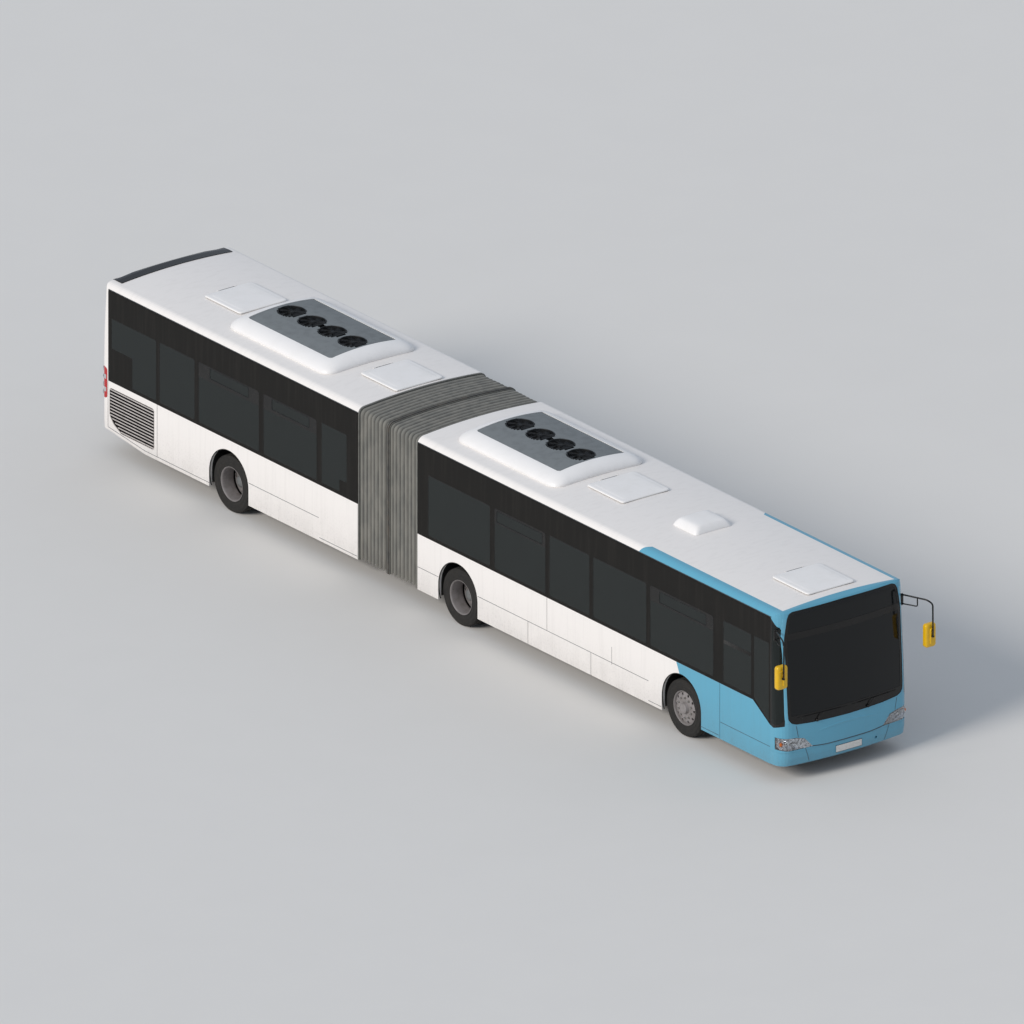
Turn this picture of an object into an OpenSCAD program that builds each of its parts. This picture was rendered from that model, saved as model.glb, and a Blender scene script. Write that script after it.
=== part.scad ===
// Articulated city bus: a front section on two axles and a rear section on one,
// joined by a turntable and a bellows. Driver on the right, three double doors on the left.
// The front faces -Y, +X is the bus's left, z = 0 is the road.
// Most places are given by d, the distance behind the front end.

/* [Body] */
// Length from the front end to the rear end
bus_length = 17940; // [17800:10:18100]
// Width over the side walls
body_width = 2550; // [2500:10:2600]
// Height of the roof's crown
roof_height = 2950; // [2920:5:3000]
// Height of the skirt's bottom edge
skirt_bottom = 293; // [285:1:310]
// Height of the saloon floor
floor_top = 370; // [365:1:375]
// Thickness of the side walls and of the roof
wall = 60; // [50:1:65]
// How far the mirrors reach ahead of the front end
mirror_reach = 265; // [240:5:300]

/* [Wheels] */
// Front axle behind the front end
front_axle_d = 2705; // [2680:5:2730]
// From the front axle to the middle axle
front_wheelbase = 5845; // [5820:5:5870]
// From the middle axle to the rear axle
rear_wheelbase = 5990; // [5960:5:6010]
// Radius of a tyre
tyre_radius = 478; // [470:1:485]
// Width of a tyre
tyre_width = 275; // [260:1:280]
// Distance of the outer tyres' middle planes from the centre plane
track_half = 1092; // [1080:1:1095]
// Distance between the middle planes of a pair of twin tyres
twin_spacing = 310; // [305:1:320]
// Radius of the wheel arches
arch_radius = 515; // [510:1:520]
// Radius of the front hubs' spindles
front_spindle_radius = 45; // [40:1:50]
// Radius of the driven hubs' spindles
rear_spindle_radius = 60; // [55:1:65]
// Radius of the kingpins
kingpin_radius = 25; // [20:1:28]

/* [Articulation] */
// Where the front section ends
bellows_start = 9605; // [9600:1:9620]
// Where the rear section starts
bellows_end = 11170; // [11160:1:11200]
// Radius of the turntable's pin
turntable_pin_radius = 100; // [90:1:110]
// Radius of the round gangway floor
gangway_radius = 760; // [740:1:765]

/* [Doors] */
// Width of a doorway
door_width = 1320; // [1300:1:1340]
// Height of the doorways' heads
door_head = 2380; // [2360:1:2390]
// Radius of the door leaves' pivot pins
door_pin_radius = 9; // [8:1:10]

/* [Roof equipment] */
// Length of an air conditioner
cooler_length = 2660; // [2600:10:2700]
// Width of an air conditioner
cooler_width = 1840; // [1800:10:1900]
// Side of a square roof hatch
hatch_side = 950; // [930:5:960]

/* [Front end] */
// Radius of the towing eye's socket
tow_socket_radius = 21; // [18:1:24]
// Depth of the towing eye's socket
tow_socket_depth = 120; // [100:5:140]
// Distance between the number plate's two holes
plate_hole_spacing = 400; // [380:5:420]

/* [Hidden] */
$fn = 48;

// Body section
hw = body_width / 2;
inner_x = hw - wall;
origin_y = (bus_length - mirror_reach) / 2;
crown_radius = 12350;
cantrail_radius = 130;
roof_centre_z = roof_height - crown_radius;
roof_turn = acos((hw - cantrail_radius) / (crown_radius - cantrail_radius));
wall_top = roof_centre_z + (crown_radius - cantrail_radius) * sin(roof_turn);
running_gap = 0.05;
seat_gap = 0.3;
fit_gap = 0.5;
moving_gap = 6;
sheet = 10;
past = 20;

// Axles and arches
middle_axle_d = front_axle_d + front_wheelbase;
rear_axle_d = middle_axle_d + rear_wheelbase;
arch_centre_z = 555;

// Articulation
pivot_d = (bellows_start + bellows_end) / 2;
hoop_half = 30;

// Floor and chassis
floor_sheet = 40;
floor_bottom = floor_top - floor_sheet;
rail_bottom = floor_bottom - 80;
rail_x = 450;
rail_half = 40;

// Caps at the two ends
front_depth = 380;
front_bow = 7900;
front_corner = 220;
rear_depth = 250;
rear_bow = 9000;
rear_corner = 100;
cap_wall = 50;
cap_reach = 700;
cap_top = roof_height + past;
rear_cap_d = bus_length - rear_depth;

// How far the front end leans back, with the height it applies at
front_lean = [[30, 250], [28, 300], [6, 420], [0, 560], [0, 950], [8, 1150], [30, 1600], [85, 2450],
              [105, 2800], [120, 2870], [165, 2920], [270, roof_height], [290, cap_top]];
// The same for the rear end, measured forwards from it
rear_lean = [[20, 380], [12, 420], [0, 520], [0, 1550], [8, 2000], [30, 2400], [60, 2800],
             [75, 2870], [110, 2920], [200, roof_height], [220, cap_top]];

// Windows: each is [first d, bottom, last d, top]
window_bottom = 1305;
window_top = 2330;
window_corner = 35;
glass = 6;
front_windows_right = [[876, window_bottom, 1609, 2346], [1870, window_bottom, 3519, window_top],
                       [3620, window_bottom, 5013, window_top], [5110, window_bottom, 6156, window_top],
                       [6260, window_bottom, 7590, window_top], [7710, window_bottom, 9325, window_top]];
front_windows_left = [[2080, window_bottom, 3519, window_top], [3620, window_bottom, 4930, window_top],
                      [6490, window_bottom, 7590, window_top], [7710, window_bottom, 9325, window_top]];
rear_windows_right = [[12240, window_bottom, 13630, window_top], [13750, window_bottom, 15325, window_top],
                      [15430, window_bottom, 16350, window_top]];
rear_windows_left = [[11460, window_bottom, 11930, window_top], [13490, window_bottom, 15325, window_top],
                     [15430, window_bottom, 16350, window_top],
                     [16440, window_bottom, rear_cap_d - 90, window_top]];
// The driver's forward window slants down at its front
driver_window = [[420, 1000], [805, 1290], [805, 2346], [420, 2346]];
// The quarter light in the corner of the front end
quarter_light = [[350, 1000], [200, 1010], [130, 1080], [130, 2300], [160, 2500], [230, 2650], [350, 2700]];
// Two windows of the rear section that step round the inside equipment
stepped_window = [[11650, window_bottom], [12110, window_bottom], [12110, window_top],
                  [11460, window_top], [11460, 1510], [11650, 1510]];
tower_d = rear_cap_d - 630;
tower_top = 1820;
tower_x = -500;
tower_window = [[16440, window_bottom], [tower_d, window_bottom], [tower_d, tower_top],
                [rear_cap_d - 90, tower_top], [rear_cap_d - 90, window_top], [16440, window_top]];
// Windscreen, right half as [x, z], from the bottom up
windscreen_half = [[700, 985], [1000, 1005], [1080, 1035], [1125, 1100], [1135, 1200], [1150, 2450],
                   [1120, 2640], [1085, 2800], [1050, 2855], [990, 2875]];
windscreen_bottom = 975;
windscreen_head = 2890;
rear_window_half = 980;
rear_window_bottom = 1500;
rear_window_top = 2450;

// Doors: where each doorway starts
front_door_d = 640;
middle_door_d = 5050;
rear_door_d = 12050;
leaf_width = (door_width - 3 * moving_gap) / 2;
leaf_thickness = 35;
leaf_x = hw - 42;
leaf_bottom = floor_top + 10;
leaf_top = door_head - 10;
door_pivot_x = hw - 43;
door_pivot_inset = moving_gap + 30;

// Roof equipment
cooler_d = [6470, 12440];
cooler_rise = 140;        // edge of the panel over the roof's crown
cooler_top_radius = 4381; // the top curves across the bus
cooler_panel_half = 660;
cooler_slope = 245;       // run of the sloping ends
cooler_step = 60;
fan_radius = 230;
fan_depth = 60;
fan_hub_radius = 70;
vent_d = [3520, 4150];
vent_half = 370;
vent_top_half = 260;
vent_rise = 140;
vent_slope = 70;
fan_spacing = 530;
fan_count = 4;
hatch_d = [450, 5290, 11210, 15290];
hatch_bottom = roof_height + 5;
hatch_thickness = 35;
hatch_opening = 760;
hatch_hinge_z = hatch_bottom + 12;
hatch_hinge_back = 20;
hatch_pin_radius = 5;

// Engine lid in the rear end
lid_half = 780;
lid_bottom = 560;
lid_top = 1300;
lid_hinge_d = bus_length - 9;

// ---- Placing and outlines ----

// Points round an arc, both ends included
function arc(cx, cy, r, from, to, steps) =
    [for (i = [0 : steps]) let (a = from + (to - from) * i / steps) [cx + r * cos(a), cy + r * sin(a)]];

// The same without its two ends
function arc_between(cx, cy, r, from, to, steps) =
    [for (i = [1 : steps - 1]) let (a = from + (to - from) * i / steps) [cx + r * cos(a), cy + r * sin(a)]];

function reversed(points) = [for (i = [len(points) - 1 : -1 : 0]) points[i]];

function mirrored(points) = [for (i = [len(points) - 1 : -1 : 0]) [-points[i][0], points[i][1]]];

function rounded(x0, y0, x1, y1, r) = concat(
    arc(x1 - r, y0 + r, r, -90, 0, 4), arc(x1 - r, y1 - r, r, 0, 90, 4),
    arc(x0 + r, y1 - r, r, 90, 180, 4), arc(x0 + r, y0 + r, r, 180, 270, 4));

// Roof line over both cantrails, inset evenly
function roof_line(inset) = concat(
    arc(hw - cantrail_radius, wall_top, cantrail_radius - inset, 0, roof_turn, 6),
    arc_between(0, roof_centre_z, crown_radius - inset, roof_turn, 180 - roof_turn, 20),
    arc(cantrail_radius - hw, wall_top, cantrail_radius - inset, 180 - roof_turn, 180, 6));

// Whole cross-section of the body down to a height
function section(inset, bottom) =
    concat([[hw - inset, bottom]], roof_line(inset), [[inset - hw, bottom]]);

// Plan of an end cap: two corners joined by a shallow bow, moved back by `lean`
function cap_plan(bow, corner, inset, lean, depth) =
    let (turn = acos((hw - corner) / (bow - corner)),
         corner_d = bow - (bow - corner) * sin(turn),
         edge = concat(arc(hw - corner, corner_d, corner - inset, 0, -turn, 6),
                       arc_between(0, bow, bow - inset, -turn, turn - 180, 16),
                       arc(corner - hw, corner_d, corner - inset, turn - 180, -180, 6)))
    concat([[hw - inset, depth]], [for (p = edge) [p[0], p[1] + lean]], [[inset - hw, depth]]);

// Outline in plan [x, d], drawn upwards from z0
module plan(z0, height) translate([0, -origin_y, z0]) linear_extrude(height) children();

// Outline in side view [d, z], drawn from x0 towards the bus's left
module side(x0, thickness)
    translate([x0, -origin_y, 0]) rotate([90, 0, 90]) linear_extrude(thickness) children();

// Outline in cross-section [x, z], drawn from d0 back to d1
module run(d0, d1)
    translate([0, d1 - origin_y, 0]) rotate([90, 0, 0]) linear_extrude(d1 - d0) children();

// Box between two x, two d and two z
module block(x0, x1, d0, d1, z0, z1)
    translate([x0, d0 - origin_y, z0]) cube([x1 - x0, d1 - d0, z1 - z0]);

module at(x, d, z) translate([x, d - origin_y, z]) children();

module both_sides() {
    children();
    mirror([1, 0, 0]) children();
}

// Turns what is drawn for the front end round to the rear end
module from_rear() translate([0, bus_length - 2 * origin_y, 0]) mirror([0, 1, 0]) children();

module rod_x(x0, x1, d, z, r) at(x0, d, z) rotate([0, 90, 0]) cylinder(r = r, h = x1 - x0);
module rod_y(x, d0, d1, z, r) at(x, d1, z) rotate([90, 0, 0]) cylinder(r = r, h = d1 - d0);
module rod_z(x, d, z0, z1, r) at(x, d, z0) cylinder(r = r, h = z1 - z0);

// ---- End caps ----

// Solid whose outline in plan moves back with height, as the rows of `lean` say
module leaning_cap(lean, bow, corner, inset) {
    rows = [for (row = lean) [for (p = cap_plan(bow, corner, inset, row[0], cap_reach))
        [p[0], p[1] - origin_y, row[1]]]];
    n = len(rows[0]);
    m = len(rows);
    sides = [for (j = [0 : m - 2], i = [0 : n - 1])
        [j * n + i, j * n + (i + 1) % n, (j + 1) * n + (i + 1) % n, (j + 1) * n + i]];
    polyhedron([for (row = rows) each row],
               concat([[for (i = [n - 1 : -1 : 0]) i]], sides, [[for (i = [0 : n - 1]) (m - 1) * n + i]]));
}

module front_shape(inset, depth = front_depth) intersection() {
    leaning_cap(front_lean, front_bow, front_corner, inset);
    run(-past, depth) polygon(section(inset, 0));
}

module rear_shape(inset, depth = rear_depth) from_rear() intersection() {
    leaning_cap(rear_lean, rear_bow, rear_corner, inset);
    run(-past, depth) polygon(section(inset, 0));
}

module front_shell(outer, inner) difference() {
    front_shape(outer);
    front_shape(inner, front_depth + past);
}

module rear_shell(outer, inner) difference() {
    rear_shape(outer);
    rear_shape(inner, rear_depth + past);
}

module windscreen_outline(inset = 0) offset_outline(
    concat([[0, windscreen_bottom]], windscreen_half, [[0, windscreen_head]],
           mirrored(windscreen_half)), 0, 1900, inset);

// Shrinks an outline about a middle point so that its edge moves in by about `inset`
module offset_outline(points, cx, cy, inset) {
    reach = max([for (p = points) max(abs(p[0] - cx), abs(p[1] - cy))]);
    k = 1 - inset / reach;
    polygon([for (p = points) [cx + (p[0] - cx) * k, cy + (p[1] - cy) * k]]);
}

// ---- Walls ----

module arch(axle_d) {
    translate([axle_d, arch_centre_z]) circle(r = arch_radius, $fn = 96);
    translate([axle_d - arch_radius, 0]) square([2 * arch_radius, arch_centre_z]);
}

module openings(windows) for (w = windows) polygon(rounded(w[0], w[1], w[2], w[3], window_corner));

module doorway(d) translate([d, floor_top]) square([door_width, door_head - floor_top]);

// The panes that fill the windows of one wall
module panes(windows, outer_x, direction)
    for (w = windows)
        side(direction > 0 ? outer_x - glass : -outer_x, glass)
            polygon(rounded(w[0] + fit_gap, w[1] + fit_gap, w[2] - fit_gap, w[3] - fit_gap, window_corner));

module odd_pane(points, cx, cy, outer_x, direction)
    side(direction > 0 ? outer_x - glass : -outer_x, glass) offset_outline(points, cx, cy, fit_gap);

// Bores in the sill and the head of a doorway that carry its two leaves
module door_bores(d)
    for (pivot = [d + door_pivot_inset, d + door_width - door_pivot_inset]) {
        rod_z(door_pivot_x, pivot, floor_top - 15, floor_top + past, door_pin_radius + running_gap);
        rod_z(door_pivot_x, pivot, door_head - past, door_head + 15, door_pin_radius + running_gap);
    }

module front_wall_right() color("white")
    side(-hw, wall) difference() {
        translate([front_depth, skirt_bottom])
            square([bellows_start - front_depth, wall_top - skirt_bottom]);
        arch(front_axle_d);
        arch(middle_axle_d);
        openings(front_windows_right);
        polygon(driver_window);
    }

module front_wall_left() color("white") difference() {
    side(inner_x, wall) difference() {
        translate([front_depth, skirt_bottom])
            square([bellows_start - front_depth, wall_top - skirt_bottom]);
        arch(front_axle_d);
        arch(middle_axle_d);
        openings(front_windows_left);
        doorway(front_door_d);
        doorway(middle_door_d);
    }
    door_bores(front_door_d);
    door_bores(middle_door_d);
}

// Side of the rear section: its skirt rises behind the axle
module rear_side() polygon([[bellows_end, skirt_bottom], [rear_cap_d - 960, skirt_bottom],
    [rear_cap_d, skirt_bottom + 115], [rear_cap_d, wall_top], [bellows_end, wall_top]]);

// Cooling opening behind the right rear corner
grille_first = rear_cap_d - 1200;
grille_last = rear_cap_d - 40;
grille_bottom = 440;
grille_top = 1140;
grille_round = 60;
module grille_outline(inset) offset_outline(concat(
    arc(grille_last - grille_round, grille_top - grille_round, grille_round, 0, 90, 4),
    arc(grille_first + grille_round, grille_top - grille_round, grille_round, 90, 180, 4),
    arc(grille_first + grille_round, grille_bottom + grille_round, grille_round, 180, 270, 4),
    [[grille_last - 300, grille_bottom], [grille_last, grille_bottom + 220]]),
    (grille_first + grille_last) / 2, (grille_bottom + grille_top) / 2, inset);

module rear_wall_right() color("white")
    side(-hw, wall) difference() {
        rear_side();
        arch(rear_axle_d);
        openings(rear_windows_right);
        polygon(stepped_window);
        polygon(tower_window);
        grille_outline(0);
    }

module rear_wall_left() color("white") difference() {
    side(inner_x, wall) difference() {
        rear_side();
        arch(rear_axle_d);
        openings(rear_windows_left);
        doorway(rear_door_d);
    }
    door_bores(rear_door_d);
}

// Frame with level louvres
module side_grille() color("silver") {
    louvre_count = 12;
    pitch = (grille_top - grille_bottom) / (louvre_count + 1);
    side(4 - hw, 24) difference() {
        grille_outline(fit_gap);
        for (i = [1 : louvre_count])
            translate([0, grille_bottom + pitch * i]) intersection() {
                translate([grille_first + 30, -pitch * 0.25])
                    square([grille_last - grille_first - 60, pitch * 0.5]);
                translate([0, -grille_bottom - pitch * i]) grille_outline(30);
            }
    }
}

// ---- Roofs ----

// Two brackets that carry a hatch's pin
module hatch_brackets(d0) {
    hinge_d = d0 + hatch_side + hatch_hinge_back;
    both_sides() difference() {
        block(155, 190, hinge_d - 12, hinge_d + 12, roof_height - 20, hatch_hinge_z + 12);
        rod_x(150, 195, hinge_d, hatch_hinge_z, hatch_pin_radius + running_gap);
    }
}

module hatch_hole(d0) {
    margin = (hatch_side - hatch_opening) / 2;
    block(-hatch_opening / 2, hatch_opening / 2, d0 + margin, d0 + margin + hatch_opening,
          roof_height - 200, roof_height + past);
}

module roof(d0, d1, hatches) color("white") {
    difference() {
        run(d0, d1) polygon(concat(roof_line(0), reversed(roof_line(wall))));
        for (h = hatches) hatch_hole(h);
    }
    for (h = hatches) hatch_brackets(h);
}

module front_roof() roof(front_depth, bellows_start, [hatch_d[0], hatch_d[1]]);
module rear_roof() roof(bellows_end, rear_cap_d, [hatch_d[2], hatch_d[3]]);

module roof_hatch(d0) color("white") {
    hinge_d = d0 + hatch_side + hatch_hinge_back;
    side(-hatch_side / 2, hatch_side)
        polygon([[d0, hatch_bottom], [d0 + hatch_side, hatch_bottom],
                 [d0 + hatch_side, hatch_bottom + hatch_thickness - 12],
                 [d0 + hatch_side - 25, hatch_bottom + hatch_thickness],
                 [d0 + 25, hatch_bottom + hatch_thickness],
                 [d0, hatch_bottom + hatch_thickness - 12]]);
    block(-145, 145, d0 + hatch_side - 20, hinge_d, hatch_hinge_z - 4, hatch_hinge_z + 4);
    rod_x(-145, 145, hinge_d, hatch_hinge_z, 7);
    rod_x(-185, 185, hinge_d, hatch_hinge_z, hatch_pin_radius);
}
module roof_hatch_1() roof_hatch(hatch_d[0]);
module roof_hatch_2() roof_hatch(hatch_d[1]);
module roof_hatch_3() roof_hatch(hatch_d[2]);
module roof_hatch_4() roof_hatch(hatch_d[3]);

// Sloping housing that sits on the crown, with a row of open fan wells
module air_conditioner(d0) {
    top = roof_height + cooler_rise;
    half = cooler_width / 2;
    lip = roof_height + 10;
    shoulder = roof_height + cooler_step;
    lean = acos(cooler_panel_half / cooler_top_radius);
    centre_z = top - cooler_top_radius * sin(lean);
    last = d0 + cooler_length;
    color("whitesmoke") difference() {
        intersection() {
            run(d0, d0 + cooler_length) polygon(concat(
                [[half, roof_height - 90], [half, lip], [half - cooler_step, shoulder]],
                arc(0, centre_z, cooler_top_radius, lean, 180 - lean, 8),
                [[cooler_step - half, shoulder], [-half, lip], [-half, roof_height - 90]]));
            side(-hw, body_width) polygon([[d0, 0], [d0, lip], [d0 + cooler_step, shoulder],
                [d0 + cooler_slope, top], [d0 + cooler_slope, top + 100], [last - cooler_slope, top + 100],
                [last - cooler_slope, top], [last - cooler_step, shoulder], [last, lip], [last, 0]]);
        }
        run(d0 - past, last + past) polygon(section(0, 0));
        for (i = [0 : fan_count - 1]) {
            fan_d = (d0 + last) / 2 + (i - (fan_count - 1) / 2) * fan_spacing;
            difference() {
                rod_z(0, fan_d, top - fan_depth, top + 100, fan_radius);
                rod_z(0, fan_d, top - fan_depth - past, top + 25, fan_hub_radius);
            }
        }
    }
}
module front_air_conditioner() air_conditioner(cooler_d[0]);
module rear_air_conditioner() air_conditioner(cooler_d[1]);

// Low box with sloping ends between the first two hatches
module roof_vent() color("whitesmoke") difference() {
    first = vent_d[0];
    last = vent_d[1];
    top = roof_height + vent_rise;
    lip = roof_height + 20;
    intersection() {
        run(first, last) polygon([[-vent_half, roof_height - 50], [vent_half, roof_height - 50],
            [vent_half, lip], [vent_top_half, top], [-vent_top_half, top], [-vent_half, lip]]);
        side(-vent_half - past, 2 * (vent_half + past)) polygon([[first, 0], [first, lip],
            [first + vent_slope, top], [last - vent_slope, top], [last, lip], [last, 0]]);
    }
    run(first - past, last + past) polygon(section(0, 0));
}

// ---- Front end ----

mask_bottom = 532;
bumper_bottom = 300;
lamp_depth = 270;
lamp = [[690, 565], [1150, 560], [1400, 600], [1400, 790], [1000, 770], [850, 735]];
plate_z = 415;

module lamp_region(inset) both_sides()
    run(-past, lamp_depth - inset) offset_outline(lamp, 1045, 670, inset);

module quarter_region(inset) both_sides()
    side(hw - 120, 120 + past) offset_outline(quarter_light, 250, 1800, inset);

module windscreen_region(inset) run(-past, front_depth - 60) windscreen_outline(inset);

module front_mask() color("steelblue") difference() {
    intersection() {
        front_shell(0, cap_wall);
        block(-hw - past, hw + past, -past, front_depth + past, mask_bottom, cap_top + past);
    }
    windscreen_region(0);
    quarter_region(0);
    lamp_region(0);
}

// Lower front with a pad for the number plate and the towing eye's socket
module front_bumper() color("steelblue") {
    pad_half = 265;
    tow_x = 560;
    tow_z = 415;
    tow_d = 22;
    difference() {
        union() {
            intersection() {
                front_shell(0, cap_wall);
                block(-hw - past, hw + past, -past, front_depth + past, bumper_bottom, mask_bottom - 2);
            }
            block(-pad_half, pad_half, 2, cap_wall, plate_z - 60, plate_z + 60);
            rod_y(tow_x, tow_d, tow_d + tow_socket_depth + 12, tow_z, tow_socket_radius + 12);
        }
        for (x = [-1, 1] * plate_hole_spacing / 2) rod_y(x, -past, 32, plate_z, 3);
        rod_y(tow_x, -past, tow_d + tow_socket_depth, tow_z, tow_socket_radius);
    }
}

module windscreen() color("dimgray") intersection() {
    front_shell(2, 10);
    windscreen_region(fit_gap);
}

module headlamps() color("gainsboro") intersection() {
    front_shell(0, cap_wall);
    lamp_region(fit_gap);
}

module front_windows() color("dimgray") {
    panes(front_windows_right, hw, -1);
    panes(front_windows_left, hw, 1);
    odd_pane(driver_window, 612, 1700, hw, -1);
    intersection() {
        front_shell(0, glass);
        quarter_region(fit_gap);
    }
}

// Outside mirrors: foot on the front corner, tube arm with a strut, and a hooded head
module mirrors() {
    arm_r = 14;
    bend_r = arm_r + 3;
    head_x = hw + 202;
    head_d = -172;
    bar_x = head_x + 10;
    bar_d = bend_r - mirror_reach;
    foot = [hw - 5, 270, 2610];
    strut = [hw + 105, 10, 2606];
    knee = [hw + 178, -168, 2602];
    bend = [bar_x, bar_d, 2540];
    hook = [bar_x, bar_d, 1995];
    drop = [0, 0, 155];
    both_sides() {
        color("black") {
            difference() {
                block(hw - 60, hw + 8, foot[1] - 18, foot[1] + 18, foot[2] - 180, foot[2] + 20);
                front_shape(0);
            }
            slanting_rod(foot, knee, arm_r);
            slanting_rod(knee, bend, arm_r);
            slanting_rod(bend, hook, arm_r);
            slanting_rod(hook, [bar_x, head_d, hook[2]], arm_r);
            slanting_rod(foot - drop, strut - drop, arm_r - 3);
            slanting_rod(strut - drop, strut, arm_r - 3);
            for (p = [knee, bend, hook, strut - drop]) at(p[0], p[1], p[2]) sphere(r = bend_r);
        }
        color("gold") difference() {
            plan(1800, 400) polygon(rounded(head_x - 105, head_d - 45, head_x + 105, head_d + 45, 40));
            block(head_x - 92, head_x + 92, head_d + 38, head_d + 60, 1815, 2185);
        }
    }
}

// Round rod between two [x, d, z] points
module slanting_rod(from, to, r) {
    v = to - from;
    at(from[0], from[1], from[2])
        rotate([0, acos(v[2] / norm(v)), atan2(v[1], v[0])]) cylinder(r = r, h = norm(v));
}

// ---- Inside ----

module dashboard() color("dimgray") {
    block(-1100, 300, 330, 560, floor_top, 1000);
    side(-1050, 850) polygon([[340, 980], [650, 980], [650, 1040], [560, 1130], [400, 1150], [340, 1100]]);
    // Steering column and wheel ahead of the driver's seat
    at(-600, 600, 1000) rotate([-35, 0, 0]) {
        cylinder(r = 30, h = 190);
        translate([0, 0, 175]) rotate_extrude() translate([205, 0]) circle(r = 15);
        for (a = [90, 210, 330]) rotate([0, 0, a]) translate([0, -12, 168]) cube([200, 24, 14]);
    }
}

seat_pair = 880;
seat_pitch = 760;
// Row of seats facing forwards: cushion, back and pedestal of each pair
module seat_row(x0, x1, d, base) {
    color("firebrick") {
        block(x0, x1, d, d + 430, base + 380, base + 450);
        side(x0, x1 - x0) polygon([[d + 400, base + 420], [d + 450, base + 420], [d + 530, base + 1080],
            [d + 500, base + 1100], [d + 460, base + 1080], [d + 400, base + 470]]);
    }
    color("gray") block((x0 + x1) / 2 - 60, (x0 + x1) / 2 + 60, d + 120, d + 320, base, base + 390);
}

module front_seats() {
    wall_x = inner_x - 5;
    for (i = [0 : 5]) seat_row(-wall_x, seat_pair - wall_x, 3480 + seat_pitch * i, floor_top);
    for (d = [3480, 4240, 6560, 7320]) seat_row(wall_x - seat_pair, wall_x, d, floor_top);
}

// Driver's seat on its podium
module driver_seat() {
    podium = floor_top + 150;
    color("dimgray") block(-inner_x, -250, 900, 1700, floor_top, podium);
    seat_row(-850, -350, 1080, podium);
}

module rear_seats() {
    wall_x = inner_x - 5;
    for (d = [11480, 12240, 13000]) seat_row(-wall_x, seat_pair - wall_x, d, floor_top);
    for (d = [15160, 15720]) {
        seat_row(wall_x - seat_pair, wall_x, d, floor_top);
        seat_row(-wall_x, seat_pair - wall_x, d, floor_top);
    }
    seat_row(-450, wall_x, rear_cap_d - 600, podium_top);
}

// ---- Floors and chassis ----

podium_d = rear_axle_d + 1860;
podium_top = 900;
bulkhead_top = 1400;
axle_gap = 600;
jack_pad_half = 80;
jack_pad_bottom = 235;

// Housing over the wheels of one side: outer shape, and the space inside it
module wheel_box(axle_d, x0, half) block(x0, inner_x, axle_d - half, axle_d + half, floor_bottom, 1100);
module wheel_space(axle_d, x0, half)
    block(x0 + sheet, inner_x + past, axle_d - half + sheet, axle_d + half - sheet, 0, 1100 - sheet);

module rails(d0, d1) both_sides()
    block(rail_x - rail_half, rail_x + rail_half, d0, d1, rail_bottom, floor_bottom + 5);

module cross_member(d)
    block(-inner_x + 60, inner_x - 60, d - 40, d + 40, rail_bottom + 10, floor_bottom + 5);

module jack_pads(d) both_sides() {
    block(inner_x - 240, inner_x - 240 + 2 * jack_pad_half, d - jack_pad_half, d + jack_pad_half,
          jack_pad_bottom, floor_bottom + 5);
}

front_box_x = 590;
driven_box_x = 520;
front_box_half = 570;
driven_box_half = 550;

module front_floor() color("dimgray") difference() {
    union() {
        plan(floor_bottom, floor_sheet) polygon(concat(
            [for (p = cap_plan(front_bow, front_corner, 80, 30, front_depth)) p],
            [[wall - hw, front_depth], [wall - hw, bellows_start], [hw - wall, bellows_start],
             [hw - wall, front_depth]]));
        both_sides() {
            wheel_box(front_axle_d, front_box_x, front_box_half);
            wheel_box(middle_axle_d, driven_box_x, driven_box_half);
        }
        rails(300, front_axle_d - axle_gap);
        rails(front_axle_d + axle_gap, middle_axle_d - axle_gap);
        rails(middle_axle_d + axle_gap, bellows_start);
        for (d = [700, 1900, 3500, 5000, 6500, 7700, 9400]) cross_member(d);
        jack_pads(3500);
        jack_pads(7700);
    }
    both_sides() {
        wheel_space(front_axle_d, front_box_x, front_box_half);
        wheel_space(middle_axle_d, driven_box_x, driven_box_half);
    }
}

// Air way of the cooling tower, open to the engine below and to the side grille
module tower_duct()
    block(-inner_x - past, tower_x - sheet, tower_d + sheet, rear_cap_d - sheet, 400, tower_top - sheet);

module cooling_tower() color("dimgray") difference() {
    block(-inner_x, tower_x, tower_d, rear_cap_d, podium_top, tower_top);
    tower_duct();
}

module rear_floor() color("dimgray") difference() {
    union() {
        block(-inner_x, inner_x, bellows_end, podium_d + sheet, floor_bottom, floor_top);
        both_sides() wheel_box(rear_axle_d, driven_box_x, driven_box_half);
        rails(bellows_end, rear_axle_d - axle_gap);
        rails(rear_axle_d + axle_gap, rear_cap_d);
        for (d = [bellows_end + 200, 12500, 13800, 15400, podium_d]) cross_member(d);
        jack_pads(13800);
        // Carrier over the turntable
        block(-450, 450, pivot_d - 350, bellows_end + 230, rail_bottom + seat_gap, floor_bottom - 5);
        // Podium over the engine, and the bulkhead behind the rear bench
        block(-inner_x, inner_x, podium_d, podium_d + sheet, floor_bottom, podium_top);
        block(-inner_x, inner_x, podium_d, rear_cap_d, podium_top - sheet, podium_top);
        block(tower_x, inner_x, rear_cap_d - sheet, rear_cap_d, podium_top - sheet, bulkhead_top);
    }
    both_sides() wheel_space(rear_axle_d, driven_box_x, driven_box_half);
    tower_duct();
    rod_z(0, pivot_d, rail_bottom - past, floor_bottom + past, turntable_pin_radius + running_gap);
}

// Plate under the front section with the pin that carries the rear section
module turntable() color("dimgray") {
    block(-450, 450, bellows_start - 305, pivot_d + 350, rail_bottom - 65, rail_bottom);
    rod_z(0, pivot_d, rail_bottom - 5, floor_top - 35 - seat_gap, turntable_pin_radius);
}

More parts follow.
